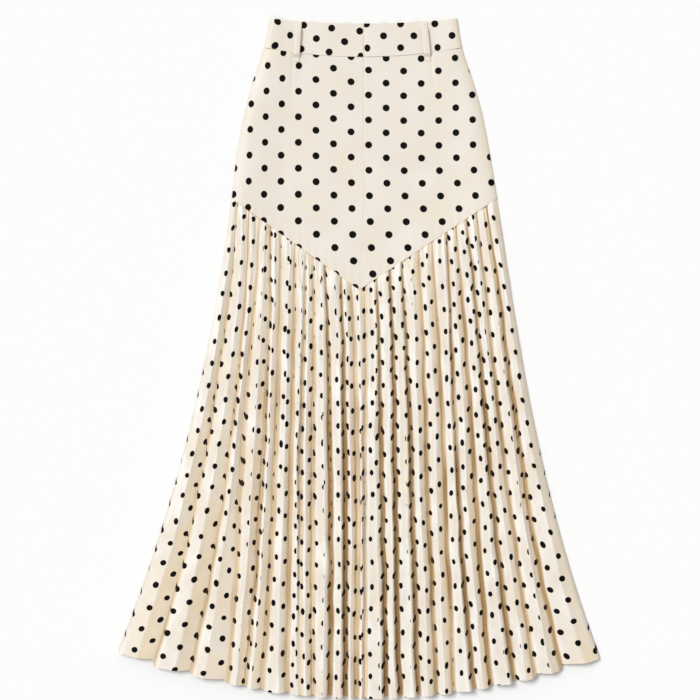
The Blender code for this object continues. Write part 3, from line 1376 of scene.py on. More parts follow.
@dataclass(frozen=True)
class FoldForm:
    """How a fold's upper side is formed, across the width between its two valleys.

    The shoulders are the shares of its height that it gains on a steep left and right side, each
    of them as wide as the edge. The rest rises to the ridge and falls away from it, as a dome or
    as crisp a crease as asked. The shade comes in over a turn past the ridge.
    """

    left_shoulder: float
    right_shoulder: float
    edge: float
    crispness: float
    turn: float

    def height(self, share: float, ridge: float) -> float:
        """Find the fold's height across its width.

        Args:
            share: The share of the way across.
            ridge: The ridge's place, as such a share.

        Returns:
            The height, as a share of the fold's own.
        """
        if share < ridge:
            shoulder, near, climb = self.left_shoulder, share, share / ridge
        else:
            shoulder, near, climb = self.right_shoulder, 1.0 - share, (1.0 - share) / (1.0 - ridge)
        dome = mix(math.sin(climb * math.pi / 2), climb, self.crispness)
        return shoulder * ease(near / self.edge) + (1.0 - shoulder) * dome


class Press(Enum):
    """The ways in which the pleats are pressed."""

    CREASED = FoldForm(left_shoulder=0.16, right_shoulder=0.05, edge=0.10, crispness=0.90, turn=0.12)
    ROUNDED = FoldForm(left_shoulder=0.45, right_shoulder=0.25, edge=0.16, crispness=0.30, turn=0.32)
    STANDING = FoldForm(left_shoulder=0.70, right_shoulder=0.50, edge=0.14, crispness=0.10, turn=0.26)
    EVEN = FoldForm(left_shoulder=0.10, right_shoulder=0.10, edge=0.20, crispness=0.60, turn=0.30)


@dataclass(frozen=True)
class Face:
    """A pleat's upper side.

    Its crown is the height of its ridge at the hem, as a share of the folds' depth. The ridge
    lies at a share of the way across, and the side to the right of it is in as much shade as
    told.
    """

    crown: float
    ridge: float
    shade: float
    press: Press


@dataclass(frozen=True)
class Valley:
    """The valley to the right of a pleat.

    It dips at the hem by a share of the folds' depth, bows sideways by so much at its middle, has
    a flat floor as wide as the gap, and is as dark as its shade.
    """

    dip: float
    bow: float
    gap: float
    shade: float


@dataclass(frozen=True)
class Pleat:
    """One pleat: its widths at the seam and at the hem, its upper side and its right valley."""

    seam: float
    hem: float
    face: Face
    valley: Valley


@dataclass(frozen=True)
class Fan:
    """How far out a pleat has fanned: the linear, square and cube parts."""

    linear: float
    square: float
    cube: float

    def share(self, along: float) -> float:
        """Return the share of its sideways travel made at a share of its length."""
        return self.linear * along + self.square * along**2 + self.cube * along**3


@dataclass(frozen=True)
class Depth:
    """The depth of the folds at a share of their length, in the front and the back."""

    along: float
    front: float
    back: float


# The front's pleats from left to right: the widths at the seam and at the hem; the upper side's crown,
# ridge, shade and press; and the valley's dip, bow, gap and shade.
FRONT_PLEATS = (
    Pleat(0.0093, 0.0531, Face(0.80, 0.52, 1.00, Press.CREASED), Valley(0.55, 0.0006, 0.0012, 0.50)),
    Pleat(0.0178, 0.0545, Face(0.85, 0.51, 1.00, Press.CREASED), Valley(0.85, 0.0036, 0.0020, 0.62)),
    Pleat(0.0171, 0.0583, Face(0.85, 0.36, 0.55, Press.CREASED), Valley(0.45, -0.0096, 0.0050, 0.55)),
    Pleat(0.0163, 0.0279, Face(0.85, 0.48, 1.00, Press.CREASED), Valley(0.60, 0.0003, 0.0030, 0.70)),
    Pleat(0.0163, 0.0279, Face(0.85, 0.34, 0.90, Press.ROUNDED), Valley(0.60, -0.0018, 0.0040, 0.55)),
    Pleat(0.0225, 0.0380, Face(0.90, 0.60, 1.00, Press.ROUNDED), Valley(0.75, -0.0049, 0.0030, 0.56)),
    Pleat(0.0163, 0.0209, Face(0.85, 0.70, 0.10, Press.ROUNDED), Valley(0.10, -0.0076, 0.0030, 0.30)),
    Pleat(0.0116, 0.0186, Face(0.85, 0.36, 0.90, Press.ROUNDED), Valley(0.75, -0.0029, 0.0030, 0.50)),
    Pleat(0.0178, 0.0264, Face(1.00, 0.66, 0.50, Press.STANDING), Valley(1.00, 0.0038, 0.0042, 0.92)),
    Pleat(0.0248, 0.0248, Face(1.00, 0.70, 0.50, Press.STANDING), Valley(1.00, 0.0012, 0.0042, 1.00)),
    Pleat(0.0155, 0.0155, Face(0.90, 0.42, 1.10, Press.ROUNDED), Valley(0.60, 0.0056, 0.0050, 0.56)),
    Pleat(0.0225, 0.0140, Face(0.90, 0.50, 1.10, Press.ROUNDED), Valley(0.70, -0.0025, 0.0020, 0.25)),
    Pleat(0.0178, 0.0341, Face(1.00, 0.74, 0.30, Press.STANDING), Valley(1.00, 0.0005, 0.0032, 0.90)),
    Pleat(0.0202, 0.0202, Face(1.00, 0.70, 0.40, Press.STANDING), Valley(1.00, 0.0008, 0.0038, 1.00)),
    Pleat(0.0186, 0.0295, Face(1.00, 0.74, 0.30, Press.STANDING), Valley(1.00, 0.0030, 0.0032, 0.95)),
    Pleat(0.0264, 0.0271, Face(1.00, 0.50, 1.00, Press.ROUNDED), Valley(0.80, 0.0014, 0.0024, 0.78)),
    Pleat(0.0202, 0.0279, Face(0.95, 0.50, 1.10, Press.ROUNDED), Valley(0.75, 0.0040, 0.0022, 0.76)),
    Pleat(0.0233, 0.0302, Face(1.00, 0.76, 0.30, Press.STANDING), Valley(0.95, -0.0023, 0.0028, 0.85)),
    Pleat(0.0140, 0.0256, Face(0.95, 0.52, 1.00, Press.ROUNDED), Valley(0.90, 0.0053, 0.0026, 0.84)),
    Pleat(0.0163, 0.0369, Face(1.00, 0.72, 0.30, Press.STANDING), Valley(0.95, 0.0058, 0.0028, 0.88)),
    Pleat(0.0155, 0.0333, Face(0.90, 0.54, 1.00, Press.ROUNDED), Valley(0.65, 0.0050, 0.0020, 0.76)),
    Pleat(0.0155, 0.0411, Face(0.85, 0.66, 0.60, Press.CREASED), Valley(0.85, 0.0037, 0.0024, 0.90)),
    Pleat(0.0171, 0.0616, Face(0.80, 0.52, 0.60, Press.CREASED), Valley(1.00, 0.0000, 0.0000, 0.00)),
)

BACK_PLEAT_COUNT = 24
BACK_PLEAT = Pleat(1.0, 1.0, Face(1.0, 0.5, 1.0, Press.EVEN), Valley(1.0, 0.0, 0.0060, 0.60))

# The share of the length, and the depth of the front's and of the back's folds there.
DEPTHS = (
    Depth(0.00, 0.0014, 0.0006),
    Depth(0.02, 0.0042, 0.0009),
    Depth(0.05, 0.0062, 0.0012),
    Depth(0.50, 0.0105, 0.0026),
    Depth(1.00, 0.0130, 0.0040),
)


# ---------------------------------------------------------------------------------------------
# How the pleats' creases, relief, shade and print change along them
#
# An onset is how many times sooner than at the hem a change that starts at the seam is whole.

SWAY_TURNS = (0.6, 1.7)
SWAY_SIZES = (0.4, 1.0)
SWAY_ONSET = 3.0


@dataclass(frozen=True)
class Sway:
    """A slow wave along a crease."""

    turns: float
    phase: float
    size: float

    @classmethod
    def drawn(cls, draw: random.Random, size: float) -> Sway:
        """Draw a wave of up to a size."""
        return cls(draw.uniform(*SWAY_TURNS), draw.random(), size * draw.uniform(*SWAY_SIZES))

    def at(self, along: float) -> float:
        """Return the wave at a share of the crease's length, nothing at the seam."""
        wave = math.sin(math.tau * (self.turns * along + self.phase))
        return self.size * ease(along * SWAY_ONSET) * wave


@dataclass(frozen=True)
class Strand:
    """A field of noise, with lines through it that lie a spacing apart, one for each pleat."""

    spacing: float
    seed: float

    def at(self, index: float, waves: float) -> float:
        """Return the noise on a pleat's line after so many waves, from about -1 to 1."""
        return noise.noise(Vector((index * self.spacing, waves, self.seed)))


@dataclass(frozen=True)
class Drift:
    """How the creases leave their straight lines.

    The sway and the swell are the most that a valley's place and a ridge's height change in slow
    waves, as shares of a pleat's width and height. Below the seam, valleys lean to the right and
    wobble, and ridges wander across their pleats.
    """

    sway: float = 0.045
    swell: float = 0.08
    lean: float = 0.0
    lean_onset: float = 6.0
    wobble: float = 0.0
    wobble_waves: float = 15.0
    wobble_noise: Strand = Strand(spacing=1.9, seed=6.0)
    wander: float = 0.0
    wander_waves: float = 4.0
    wander_noise: Strand = Strand(spacing=3.7, seed=9.0)

    def valley_shift(self, index: int, along: float) -> float:
        """Return how far to the right a valley leans and wobbles at a share of its length."""
        wobble = self.wobble * self.wobble_noise.at(index, along * self.wobble_waves)
        return (self.lean + wobble) * ease(along * self.lean_onset)

    def ridge_shift(self, pleat: int, along: float) -> float:
        """Return how far a pleat's ridge has wandered at a share of its length, as a share across."""
        return self.wander * self.wander_noise.at(pleat, along * self.wander_waves)


@dataclass(frozen=True)
class Rumples:
    """The gathers, which fade out below the seam, and the slow crumples all over.

    Each has a height, and a painted light by which it is painted paler where it stands up and darker
    where it sinks.
    """

    gather_height: float = 0.0
    # The tones below paint light: the cloth is painted paler where it stands up and darker where it
    # sinks.
    gather_painted_light: float = 0.0
    gather_length: float = 0.06
    gather_fade: float = 0.12
    gather_sharpness: float = 5.0
    gather_noise: Strand = Strand(spacing=3.6, seed=2.0)
    crumple_height: float = 0.0
    crumple_painted_light: float = 0.0
    crumple_length: float = 0.05
    crumple_noise: Strand = Strand(spacing=1.4, seed=5.0)

    def _at(self, across: float, below: float) -> tuple[float, float]:
        """Find the gathers and the crumples, both round nothing.

        Args:
            across: Place across, in pleats.
            below: Distance below the seam.

        Returns:
            The gathers and the crumples.
        """
        fold = abs(self.gather_noise.at(across, below / self.gather_length))
        near_seam = math.exp(-max(below, 0.0) / self.gather_fade)
        gather = near_seam * max(1.0 - self.gather_sharpness * fold, -1.0)
        return gather, self.crumple_noise.at(across, below / self.crumple_length)

    def height(self, across: float, below: float) -> float:
        """Return how far the cloth stands up at a place across, below the seam."""
        gather, crumple = self._at(across, below)
        return self.gather_height * gather + self.crumple_height * crumple

    def painted_light(self, across: float, below: float) -> float:
        """Return the painted light at a place across, below the seam: paler where the cloth stands up,
        darker where it sinks.
        """
        gather, crumple = self._at(across, below)
        return self.gather_painted_light * gather + self.crumple_painted_light * crumple


@dataclass(frozen=True)
class Crest:
    """The fine roll along each ridge, and the painted highlight lines on it and on each valley's right
    lip.
    """

    height: float = 0.0
    width: float = 0.0018
    onset: float = 2.5
    # The tone is the strength of the painted highlight lines.
    tone: float = 0.09
    lip_at: float = 1.3
    lip_width: float = 0.5

    def rise(self, from_ridge: float, along: float) -> float:
        """Return how far the roll stands up at a distance from its ridge."""
        return self.height * mark(from_ridge, self.width) * ease(along * self.onset)

    def painted_light(self, from_ridge: float, past: float) -> float:
        """Return the painted highlight, from the distances to a ridge and past a valley."""
        return self.tone * (mark(past - self.lip_at, self.lip_width) + mark(from_ridge, self.width))


@dataclass(frozen=True)
class Shading:
    """The shade painted into the folds' colour.

    A valley's shade is weaker at the seam and changes along the valley. It reaches out over the
    cloth to the right and to the left of it, and less far at the seam. The right side of each
    pleat is a slope in a shade of its own, which is weaker at the seam on the first few pleats.
    """

    at_seam: float = 0.92
    onset: float = 1.2
    change: float = 0.0
    change_waves: float = 6.0
    change_noise: Strand = Strand(spacing=2.3, seed=4.0)
    reach: Place = (0.0034, 0.0046)
    reach_at_seam: float = 0.42
    reach_onset: float = 2.0
    slope: float = 0.27
    slope_at_seam: Place = (0.30, 1.0)
    slope_spread: int = 8
    slope_onset: float = 1.3
    slope_lead: float = 0.03

    def strength(self, index: int, along: float) -> float:
        """Return how strong the valleys' shade is beside a pleat, at a share of its length."""
        change = self.change * self.change_noise.at(index, along * self.change_waves)
        return mix(self.at_seam, 1.0, ease(along * self.onset)) * (1.0 + change)

    def reaches(self, along: float) -> Place:
        """Return how far a valley's shade reaches to the right and to the left of it."""
        growth = mix(self.reach_at_seam, 1.0, ease(along * self.reach_onset))
        return self.reach[0] * growth, self.reach[1] * growth

    def on_slope(self, index: int, face: Face, along: float, past_ridge: float) -> float:
        """Find the shade on a pleat's right side.

        Args:
            index: The pleat.
            face: Its upper side.
            along: The share of its length.
            past_ridge: The distance past its ridge, as a share across.

        Returns:
            The shade.
        """
        early = mix(*self.slope_at_seam, min(index / self.slope_spread, 1.0))
        slope = self.slope * face.shade * mix(early, 1.0, ease(along * self.slope_onset))
        return slope * ease((past_ridge + self.slope_lead) / face.press.value.turn)


@dataclass(frozen=True)
class PleatPrint:
    """How the print lies on the pleats.

    Each side of a pleat is a lane of its own, with one column of dots near its middle; a pleat
    that is broad at the hem is one lane, measured from its ridge. Each lane is slipped down,
    shifted aside and tilted by up to so much, and its print wanders. The print is gathered
    across, most on a narrow pleat.
    """

    slip: float = 0.0140
    shift: float = 0.0070
    tilt: float = 0.015
    wander: float = 0.0075
    wander_size: float = 0.060
    wander_across: Strand = Strand(spacing=3.1, seed=3.0)
    wander_along: Strand = Strand(spacing=3.1, seed=7.0)
    gather: Place = (1.84, 1.10)
    gather_widths: Place = (0.022, 0.052)
    rows: float = 1.13
    middle: float = 0.55
    stagger: float = 0.025
    lane_limit: float = 0.042

    def gathered(self, width: float) -> float:
        """Return how much the print is gathered across on a pleat of a width."""
        low, high = self.gather_widths
        return mix(*self.gather, ease((width - low) / (high - low)))

    def wandered(self, lane: int, height: float) -> Place:
        """Find how far a lane's print has wandered.

        Args:
            lane: The lane.
            height: The height on the skirt.

        Returns:
            The distances across and along the rows of dots.
        """
        waves = height / self.wander_size
        across, along = self.wander_across.at(lane, waves), self.wander_along.at(lane, waves)
        return self.wander * across, self.wander * along


# ---------------------------------------------------------------------------------------------
# The pleated panels


class Across(NamedTuple):
    """Where a column lies across: its x, its height as a share of the folds', its ridge's x."""

    x: float
    fold: float
    ridge_x: float


@dataclass
class PleatedPanel(Cloth):
    """A pleated panel that hangs from the pointed seam and fans out to the hem.

    Its columns go from valley to valley: each pleat has one on its left valley's middle, and then
    those of its upper side, at shares of the way up to its ridge and down from it.
    """

    name: str
    layer: Layer
    outline: Outline
    pleats: Sequence[Pleat]
    climb_marks: Sequence[float]
    row_marks: Sequence[float]
    seed: int
    wall: float = 0.0005
    base: float = 0.0
    start: Edge = at_rest
    start_fade: float = 0.07
    side_inset: float = 0.0
    side_height: float = EDGE_HEIGHT
    side_round: float = 0.004
    under_yoke: float = 0.0015
    scallop: float = 0.0
    hem_step: float = 0.0
    hem_rise: float = 0.0
    hem_rise_onset: int = 6
    fade_start: float = 0.45
    gap_at_seam: float = 0.35
    gap_onset: float = 2.2
    left_fan: Fan = Fan(linear=0.50, square=0.40, cube=0.10)
    right_fan: Fan = Fan(linear=0.65, square=0.00, cube=0.35)
    left_calm: float = 0.0
    calm_spread: float = 5.0
    drift: Drift = Drift()
    rumples: Rumples = Rumples()
    crest: Crest = Crest()
    shading: Shading = Shading()
    dots: PleatPrint = PleatPrint()

    def __post_init__(self) -> None:
        """Draw the creases' sways, and the slips, shifts and tilts of the print's lanes."""
        draw = random.Random(self.seed)
        valleys = range(len(self.pleats) + 1)
        lanes = range(2 * len(self.pleats))
        self.valley_sways = [Sway.drawn(draw, self.drift.sway) for _ in valleys]
        self.ridge_sways = [Sway.drawn(draw, self.drift.swell) for _ in self.pleats]
        self.slips = [draw.uniform(-1.0, 1.0) * self.dots.slip for _ in lanes]
        self.shifts = [draw.uniform(-1.0, 1.0) * self.dots.shift for _ in lanes]
        self.tilts = [draw.uniform(-1.0, 1.0) * self.dots.tilt for _ in lanes]

    @property
    def steps(self) -> int:
        """The number of columns that a pleat has."""
        return 2 * len(self.climb_marks)

    @property
    def ridge_step(self) -> int:
        """The step of a pleat's columns that is on its ridge."""
        return len(self.climb_marks)

    @property
    def columns(self) -> int:
        """The number of columns of faces."""
        return len(self.pleats) * self.steps

    @property
    def rows(self) -> int:
        """The number of rows of faces."""
        return len(self.row_marks) - 1

    @property
    def length(self) -> float:
        """The panel's length at its middle."""
        return self.outline.point_height - self.outline.hem_height

    @cached_property
    def seam_edges(self) -> list[float]:
        """The valleys' x at the pointed seam."""
        return self._edges("seam", self.outline.seam_ends.left, self.outline.seam_ends.right)

    @cached_property
    def hem_edges(self) -> list[float]:
        """The valleys' x at the hem."""
        return self._edges("hem", self.outline.hem_left, self.outline.hem_right)

    def _edges(self, which: str, left: float, right: float) -> list[float]:
        """Lay the pleats' widths side by side between two ends.

        Args:
            which: The pleats' widths to lay, "seam" or "hem".
            left: The left end.
            right: The right end.

        Returns:
            The x of each valley.
        """
        widths = [getattr(pleat, which) for pleat in self.pleats]
        scale = (right - left) / sum(widths)
        edges = [left]
        for width in widths:
            edges.append(edges[-1] + width * scale)
        return edges

    def _split(self, column: int) -> tuple[int, int]:
        """Return a column's pleat and its step in that pleat."""
        return divmod(column, self.steps)

    def strip(self, column: int) -> int:
        """Return the side of a pleat that the faces to the right of a column belong to."""
        pleat, step = self._split(column)
        return 2 * pleat + int(step >= self.ridge_step)

    def _ridge(self, pleat: int, along: float) -> float:
        """Return where a pleat's ridge lies at a share of its length, as a share across."""
        return self.pleats[pleat].face.ridge + self.drift.ridge_shift(pleat, along)

    def _upper_share(self, step: int, ridge: float) -> float:
        """Find where a step lies on a pleat's upper side.

        Args:
            step: The step, from 1.
            ridge: The ridge's place, as a share across.

        Returns:
            The step's place, as a share across.
        """
        marks = [*self.climb_marks, 1.0]
        if step <= self.ridge_step:
            return ridge * marks[step - 1]
        return 1.0 - (1.0 - ridge) * marks[self.steps - step]

    def _pleats_across(self, column: int) -> float:
        """Return a column's place across, in pleats."""
        index, step = self._split(column)
        return index + (self._upper_share(step, self.pleats[index].face.ridge) if step else 0.0)

    def _depth(self, along: float) -> tuple[float, float]:
        """Find the depth of the folds at a share of their length.

        Args:
            along: The share of the length.

        Returns:
            The depth of the front's and of the back's folds.
        """
        start, end = next(pair for pair in zip(DEPTHS, DEPTHS[1:]) if along <= pair[1].along)
        share = (along - start.along) / (end.along - start.along)
        return mix(start.front, end.front, share), mix(start.back, end.back, share)

    def _fading(self, along: float) -> float:
        """Return how far the folds have come to differ from each other at a share of their length."""
        return ease((along - self.fade_start) / (1.0 - self.fade_start))

    def _is_side(self, index: int) -> bool:
        """Return whether a valley is one of the panel's side edges."""
        return index in (0, len(self.pleats))

    def _valley_height(self, index: int, along: float) -> float:
        """Find how high a valley is at a share of its length.

        Args:
            index: The valley.
            along: The share of the length.

        Returns:
            The height, as a share of the folds' depth.
        """
        if self._is_side(index):
            return 0.0
        pleat = self.pleats[index - 1]
        return (1.0 - pleat.valley.dip) * pleat.face.crown * self._fading(along)

    def _valley_shade(self, index: int) -> float:
        """Return a valley's shade, nothing at the side edges."""
        return 0.0 if self._is_side(index) else self.pleats[index - 1].valley.shade

    def _fanned(self, index: int, along: float) -> float:
        """Return the share of its sideways travel that a valley has made."""
        across = (self.hem_edges[index] - self.hem_edges[0]) / (self.hem_edges[-1] - self.hem_edges[0])
        return mix(self.left_fan.share(along), self.right_fan.share(along), across)

    def _valley_x(self, index: int, along: float) -> float:
        """Find where a valley lies across at a share of its length.

        Args:
            index: The valley.
            along: The share of the length.

        Returns:
            The valley's x.
        """
        x = mix(self.seam_edges[index], self.hem_edges[index], self._fanned(index, along))
        if self._is_side(index):
            return x - self.side_inset if index else x + self.side_inset
        pleat = self.pleats[index - 1]
        sway = self.valley_sways[index].at(along) * mix(pleat.seam, pleat.hem, along)
        bow = pleat.valley.bow * math.sin(math.pi * along)
        return x + bow + self.drift.valley_shift(index, along) + sway

    def _half_gap(self, index: int, along: float) -> float:
        """Find half the width of a valley's floor.

        Args:
            index: The valley.
            along: The share of its length.

        Returns:
            Half the width, nothing at the side edges.
        """
        if self._is_side(index):
            return 0.0
        gap = self.pleats[index - 1].valley.gap
        return gap / 2 * mix(self.gap_at_seam, 1.0, ease(along * self.gap_onset))

    def _across(self, column: int, along: float) -> Across:
        """Find where a column lies across at a share of its length.

        Args:
            column: The column.
            along: The share of the length.

        Returns:
            Its place across.
        """
        index, step = self._split(column)
        if step == 0:
            valley = self._valley_x(index, along)
            return Across(valley, self._valley_height(index, along), valley)
        left = self._valley_x(index, along) + self._half_gap(index, along)
        right = self._valley_x(index + 1, along) - self._half_gap(index + 1, along)
        face = self.pleats[index].face
        ridge = self._ridge(index, along)
        share = self._upper_share(step, ridge)
        fading = self._fading(along)
        calm = self.left_calm * (1.0 - ease(index / self.calm_spread)) * (1.0 - fading)
        crown = mix(1.0 - calm, face.crown, fading) * (1.0 + self.ridge_sways[index].at(along))
        side = index if share < ridge else index + 1
        height = mix(self._valley_height(side, along), crown, face.press.value.height(share, ridge))
        return Across(mix(left, right, share), height, mix(left, right, ridge))

    @cached_property
    def points(self) -> list[list[Vector]]:
        """The outer face's points, row by row."""
        hem = [self._across(column, 1.0) for column in range(self.columns + 1)]
        seam = [self._across(column, 0.0) for column in range(self.columns + 1)]
        return [
            [self._point(column, along, seam[column], hem[column]) for column in range(self.columns + 1)]
            for along in self.row_marks
        ]

    def _point(self, column: int, along: float, seam: Across, hem: Across) -> Vector:
        """Find the outer face's point at a column and a share of the panel's length.

        Args:
            column: The column.
            along: The share of the length.
            seam: Where the column lies at the seam.
            hem: Where it lies at the hem.

        Returns:
            The point.
        """
        here = self._across(column, along)
        outline = self.outline
        across = (hem.x - outline.hem_left) / (outline.hem_right - outline.hem_left)
        rise = self.hem_rise * (1.0 - abs(2.0 * across - 1.0) ** self.hem_rise_onset)
        top = outline.pointed_seam(seam.x) + self.under_yoke
        hem_line = outline.hem_edge(mix(hem.x, hem.ridge_x, self.hem_step))
        y = mix(top, hem_line + rise - self.scallop * hem.fold, along)
        front, back = self._depth(along)
        if self.layer is Layer.BACK:
            return Vector((here.x, y, self.base + here.fold * back))
        below = top - y
        height = self.base + back + here.fold * front
        height += self.rumples.height(self._pleats_across(column), below)
        height += self.crest.rise(here.x - here.ridge_x, along)
        lift = self.start(seam.x) - self.base - sum(self._depth(0.0))
        height += lift * (1.0 - ease(below / self.start_fade))
        left, right = self._valley_x(0, along), self._valley_x(len(self.pleats), along)
        rounded = quarter_round(min(here.x - left, right - here.x), self.side_round)
        return Vector((here.x, y, mix(self.side_height, height, rounded)))

    def place(self, column: int, row: int) -> Vector:
        """Return the outer face's point at a column and row."""
        return self.points[row][column]

    def printed(self, column: int, row: int, strip: int) -> Place:
        """Find a point's place on the printed cloth, from its lane's middle and from the hem.

        Args:
            column: The column.
            row: The row.
            strip: The side of a pleat that sees the point.

        Returns:
            The places along and across the rows of dots.
        """
        dots, points = self.dots, self.points[row]
        pleat, on_right = divmod(strip, 2)
        start = pleat * self.steps
        width = points[start + self.steps].x - points[start].x
        middle, stagger, lane = points[start + self.ridge_step].x, 0.0, strip - on_right
        if self.pleats[pleat].hem < dots.lane_limit:
            middle = mix(middle, points[start + self.steps * on_right].x, dots.middle)
            stagger, lane = dots.stagger * on_right, strip
        point = points[column]
        wander_x, wander_y = dots.wandered(lane, point.y)
        up = (point - self.points[-1][column]).length * dots.rows
        across = (point.x - middle) * dots.gathered(width) + stagger + self.tilts[lane] * up
        return across + self.shifts[lane] + wander_x, up + wander_y + self.slips[lane]

    def shade(self, column: int, row: int) -> float:
        """Find the painted shade at a point: most on a valley's floor, less on a right side.

        Args:
            column: The column.
            row: The row.

        Returns:
            The painted shade, from about 0 under a painted highlight on a crest to 1 and more in a
            valley.
        """
        index, step = self._split(column)
        along = self.row_marks[row]
        strength = self.shading.strength(index, along)
        if step == 0:
            return CREAM_LEVEL + strength * self._valley_shade(index)
        ridge = self._ridge(index, along)
        share = self._upper_share(step, ridge)
        gaps = self._half_gap(index, along), self._half_gap(index + 1, along)
        width = self._valley_x(index + 1, along) - self._valley_x(index, along) - sum(gaps)
        right_reach, left_reach = self.shading.reaches(along)
        past = share * width / right_reach
        before = (1.0 - share) * width / left_reach
        from_left = (1.0 - ease(past)) * self._valley_shade(index)
        from_right = (1.0 - ease(before)) * self._valley_shade(index + 1)
        slope = self.shading.on_slope(index, self.pleats[index].face, along, share - ridge)
        deepest = max(strength * from_left, strength * from_right, slope)
        # Painted highlights on crests, valley lips and raised rumples lighten the painted shade.
        pale = self.rumples.painted_light(self._pleats_across(column), along * self.length)
        return CREAM_LEVEL + deepest - (pale + self.crest.painted_light((share - ridge) * width, past))


@dataclass
class Pleats:
    """The pleated lower part: the front, with its uneven pleats, and the evenly pleated back."""

    outline: Outline
    yoke: Yoke
    layout: DotLayout = DotLayout(pitch=0.0500, row=0.0200)
    seam_rows: tuple[float, ...] = (0.0, 0.003, 0.0065, 0.0105, 0.015, 0.02, 0.027, 0.036, 0.048)
    hem_rows: tuple[float, ...] = (0.9965, 0.9993, 1.0)
    front_marks: tuple[float, ...] = (0.0, 0.05, 0.10, 0.17, 0.26, 0.37, 0.49, 0.61, 0.73, 0.85, 0.95)
    front_steps: int = 80
    front_seed: int = 11
    front_base: float = 0.0026
    front_drift: Drift = Drift(lean=0.0030, wobble=0.0022, wander=0.16)
    front_rumples: Rumples = Rumples(
        gather_height=0.0007, gather_painted_light=0.11, crumple_height=0.0018, crumple_painted_light=0.20
    )
    front_crest: Crest = Crest(height=0.0006)
    front_shading: Shading = Shading(change=0.5)
    left_calm: float = 0.50
    under_gap: float = 0.0003
    scallop: float = 0.0040
    hem_step: float = 0.62
    back_marks: tuple[float, ...] = (0.0, 0.15, 0.40, 0.70, 0.93)
    back_steps: int = 50
    back_seed: int = 12
    back_base: float = 0.0005
    back_inset: float = 0.0012
    back_gap: float = 0.0003
    back_rise: float = 0.0055
    back_drift: Drift = Drift(sway=0.0, swell=0.0)
    front_cut: Cut = Cut(width=0.955, length=0.776, area=0.533, rests_on=("pleated_back",))
    back_cut: Cut = Cut(width=0.774, length=0.766, area=0.397)

    def _rows(self, steps: int) -> list[float]:
        """List the rows: close below the seam, then even, and close again at the hem.

        Args:
            steps: How many even steps lie between.

        Returns:
            The rows, as shares of the length.
        """
        start, end = self.seam_rows[-1], self.hem_rows[0]
        even = (mix(start, end, step / steps) for step in range(1, steps))
        return [*self.seam_rows, *even, *self.hem_rows]

    def _below_yoke(self, x: float) -> float:
        """Return the height of the front's crests where they come out from under the yoke."""
        seam = self.outline.pointed_seam(x)
        return self.yoke.outer(x, seam + self.yoke.lip_length) - self.yoke.wall - self.under_gap

    def front(self) -> PleatedPanel:
        """Lay out the front.

        Returns:
            The panel.
        """
        return PleatedPanel(
            name="satin_pleats_front",
            layer=Layer.FRONT,
            outline=self.outline,
            pleats=FRONT_PLEATS,
            climb_marks=self.front_marks,
            row_marks=self._rows(self.front_steps),
            seed=self.front_seed,
            base=self.front_base,
            start=self._below_yoke,
            scallop=self.scallop,
            hem_step=self.hem_step,
            left_calm=self.left_calm,
            drift=self.front_drift,
            rumples=self.front_rumples,
            crest=self.front_crest,
            shading=self.front_shading,
        )

    def back(self) -> PleatedPanel:
        """Lay out the back.

        Returns:
            The panel.
        """
        return PleatedPanel(
            name="satin_pleats_back",
            layer=Layer.BACK,
            outline=self.outline,
            pleats=[BACK_PLEAT] * BACK_PLEAT_COUNT,
            climb_marks=self.back_marks,
            row_marks=self._rows(self.back_steps),
            seed=self.back_seed,
            base=self.back_base,
            side_inset=self.back_inset,
            under_yoke=-self.back_gap,
            hem_rise=self.back_rise,
            drift=self.back_drift,
        )

    def build(self, finish: DottedSatin) -> list[bpy.types.Object]:
        """Build and dress the pleated panels.

        Args:
            finish: The printed satin.

        Returns:
            The pieces.
        """
        material = finish.material("satin_pleats", self.layout)
        return [
            sew(self.front(), material, Slot.PLEATED, "pleated_front", self.front_cut),
            sew(self.back(), material, Slot.PLEATED, "pleated_back", self.back_cut),
        ]


# ---------------------------------------------------------------------------------------------
# Belt loops


@dataclass
class LoopStrap(Cloth):
    """One belt loop: a foot on the band's edge, a stretch clear of it, and a foot on the yoke."""

    name: str
    top: Vector
    bottom: Vector
    band: Waistband
    yoke: Yoke
    wall: float = 0.0013
    width: float = 0.0102
    clear: float = 0.0110
    foot: float = 0.0055
    foot_gap: float = 0.0003
    yoke_swell: float = 0.0006
    bend: float = 0.0070
    crown: float = 0.0004
    edge_radius: float = 0.0005
    # Painted shade along the loop's left and right edges.
    edge_painted_shades: Place = (0.16, 0.42)
    columns: int = 6
    rows: int = 40

    def _spot(self, column: int, row: int) -> tuple[float, float, float]:
        """Find a point's place on the strip.

        Args:
            column: The column.
            row: The row.

        Returns:
            How far it is to the side, in half widths, and its distances from the top and bottom.
        """
        side = 2.0 * column / self.columns - 1.0
        length = (self.top - self.bottom).length
        return side, length * row / self.rows, length * (1.0 - row / self.rows)

    def place(self, column: int, row: int) -> Vector:
        """Find the outer face's point at a column and row.

        Args:
            column: The column.
            row: The row.

        Returns:
            The point.
        """
        side, from_top, from_bottom = self._spot(column, row)
        middle = self.top.lerp(self.bottom, row / self.rows)
        below = self.band.rest if from_top < from_bottom else self.yoke.rest + self.yoke_swell
        lifted = ease((min(from_top, from_bottom) - self.foot) / self.bend)
        height = mix(below + self.foot_gap + self.wall, self.clear, lifted)
        return Vector((middle.x + side * self.width / 2, middle.y, height - self.crown * side * side))

    def printed(self, column: int, row: int, strip: int) -> Place:
        """Return the point's place on the strip's own cloth."""
        side, from_top, _ = self._spot(column, row)
        return side * self.width / 2, -from_top

    def shade(self, column: int, row: int) -> float:
        """Return the painted shade at a point, with a tan line of painted shade along each edge."""
        left, right = self.edge_painted_shades
        return CREAM_LEVEL + left * (column == 0) + right * (column == self.columns)


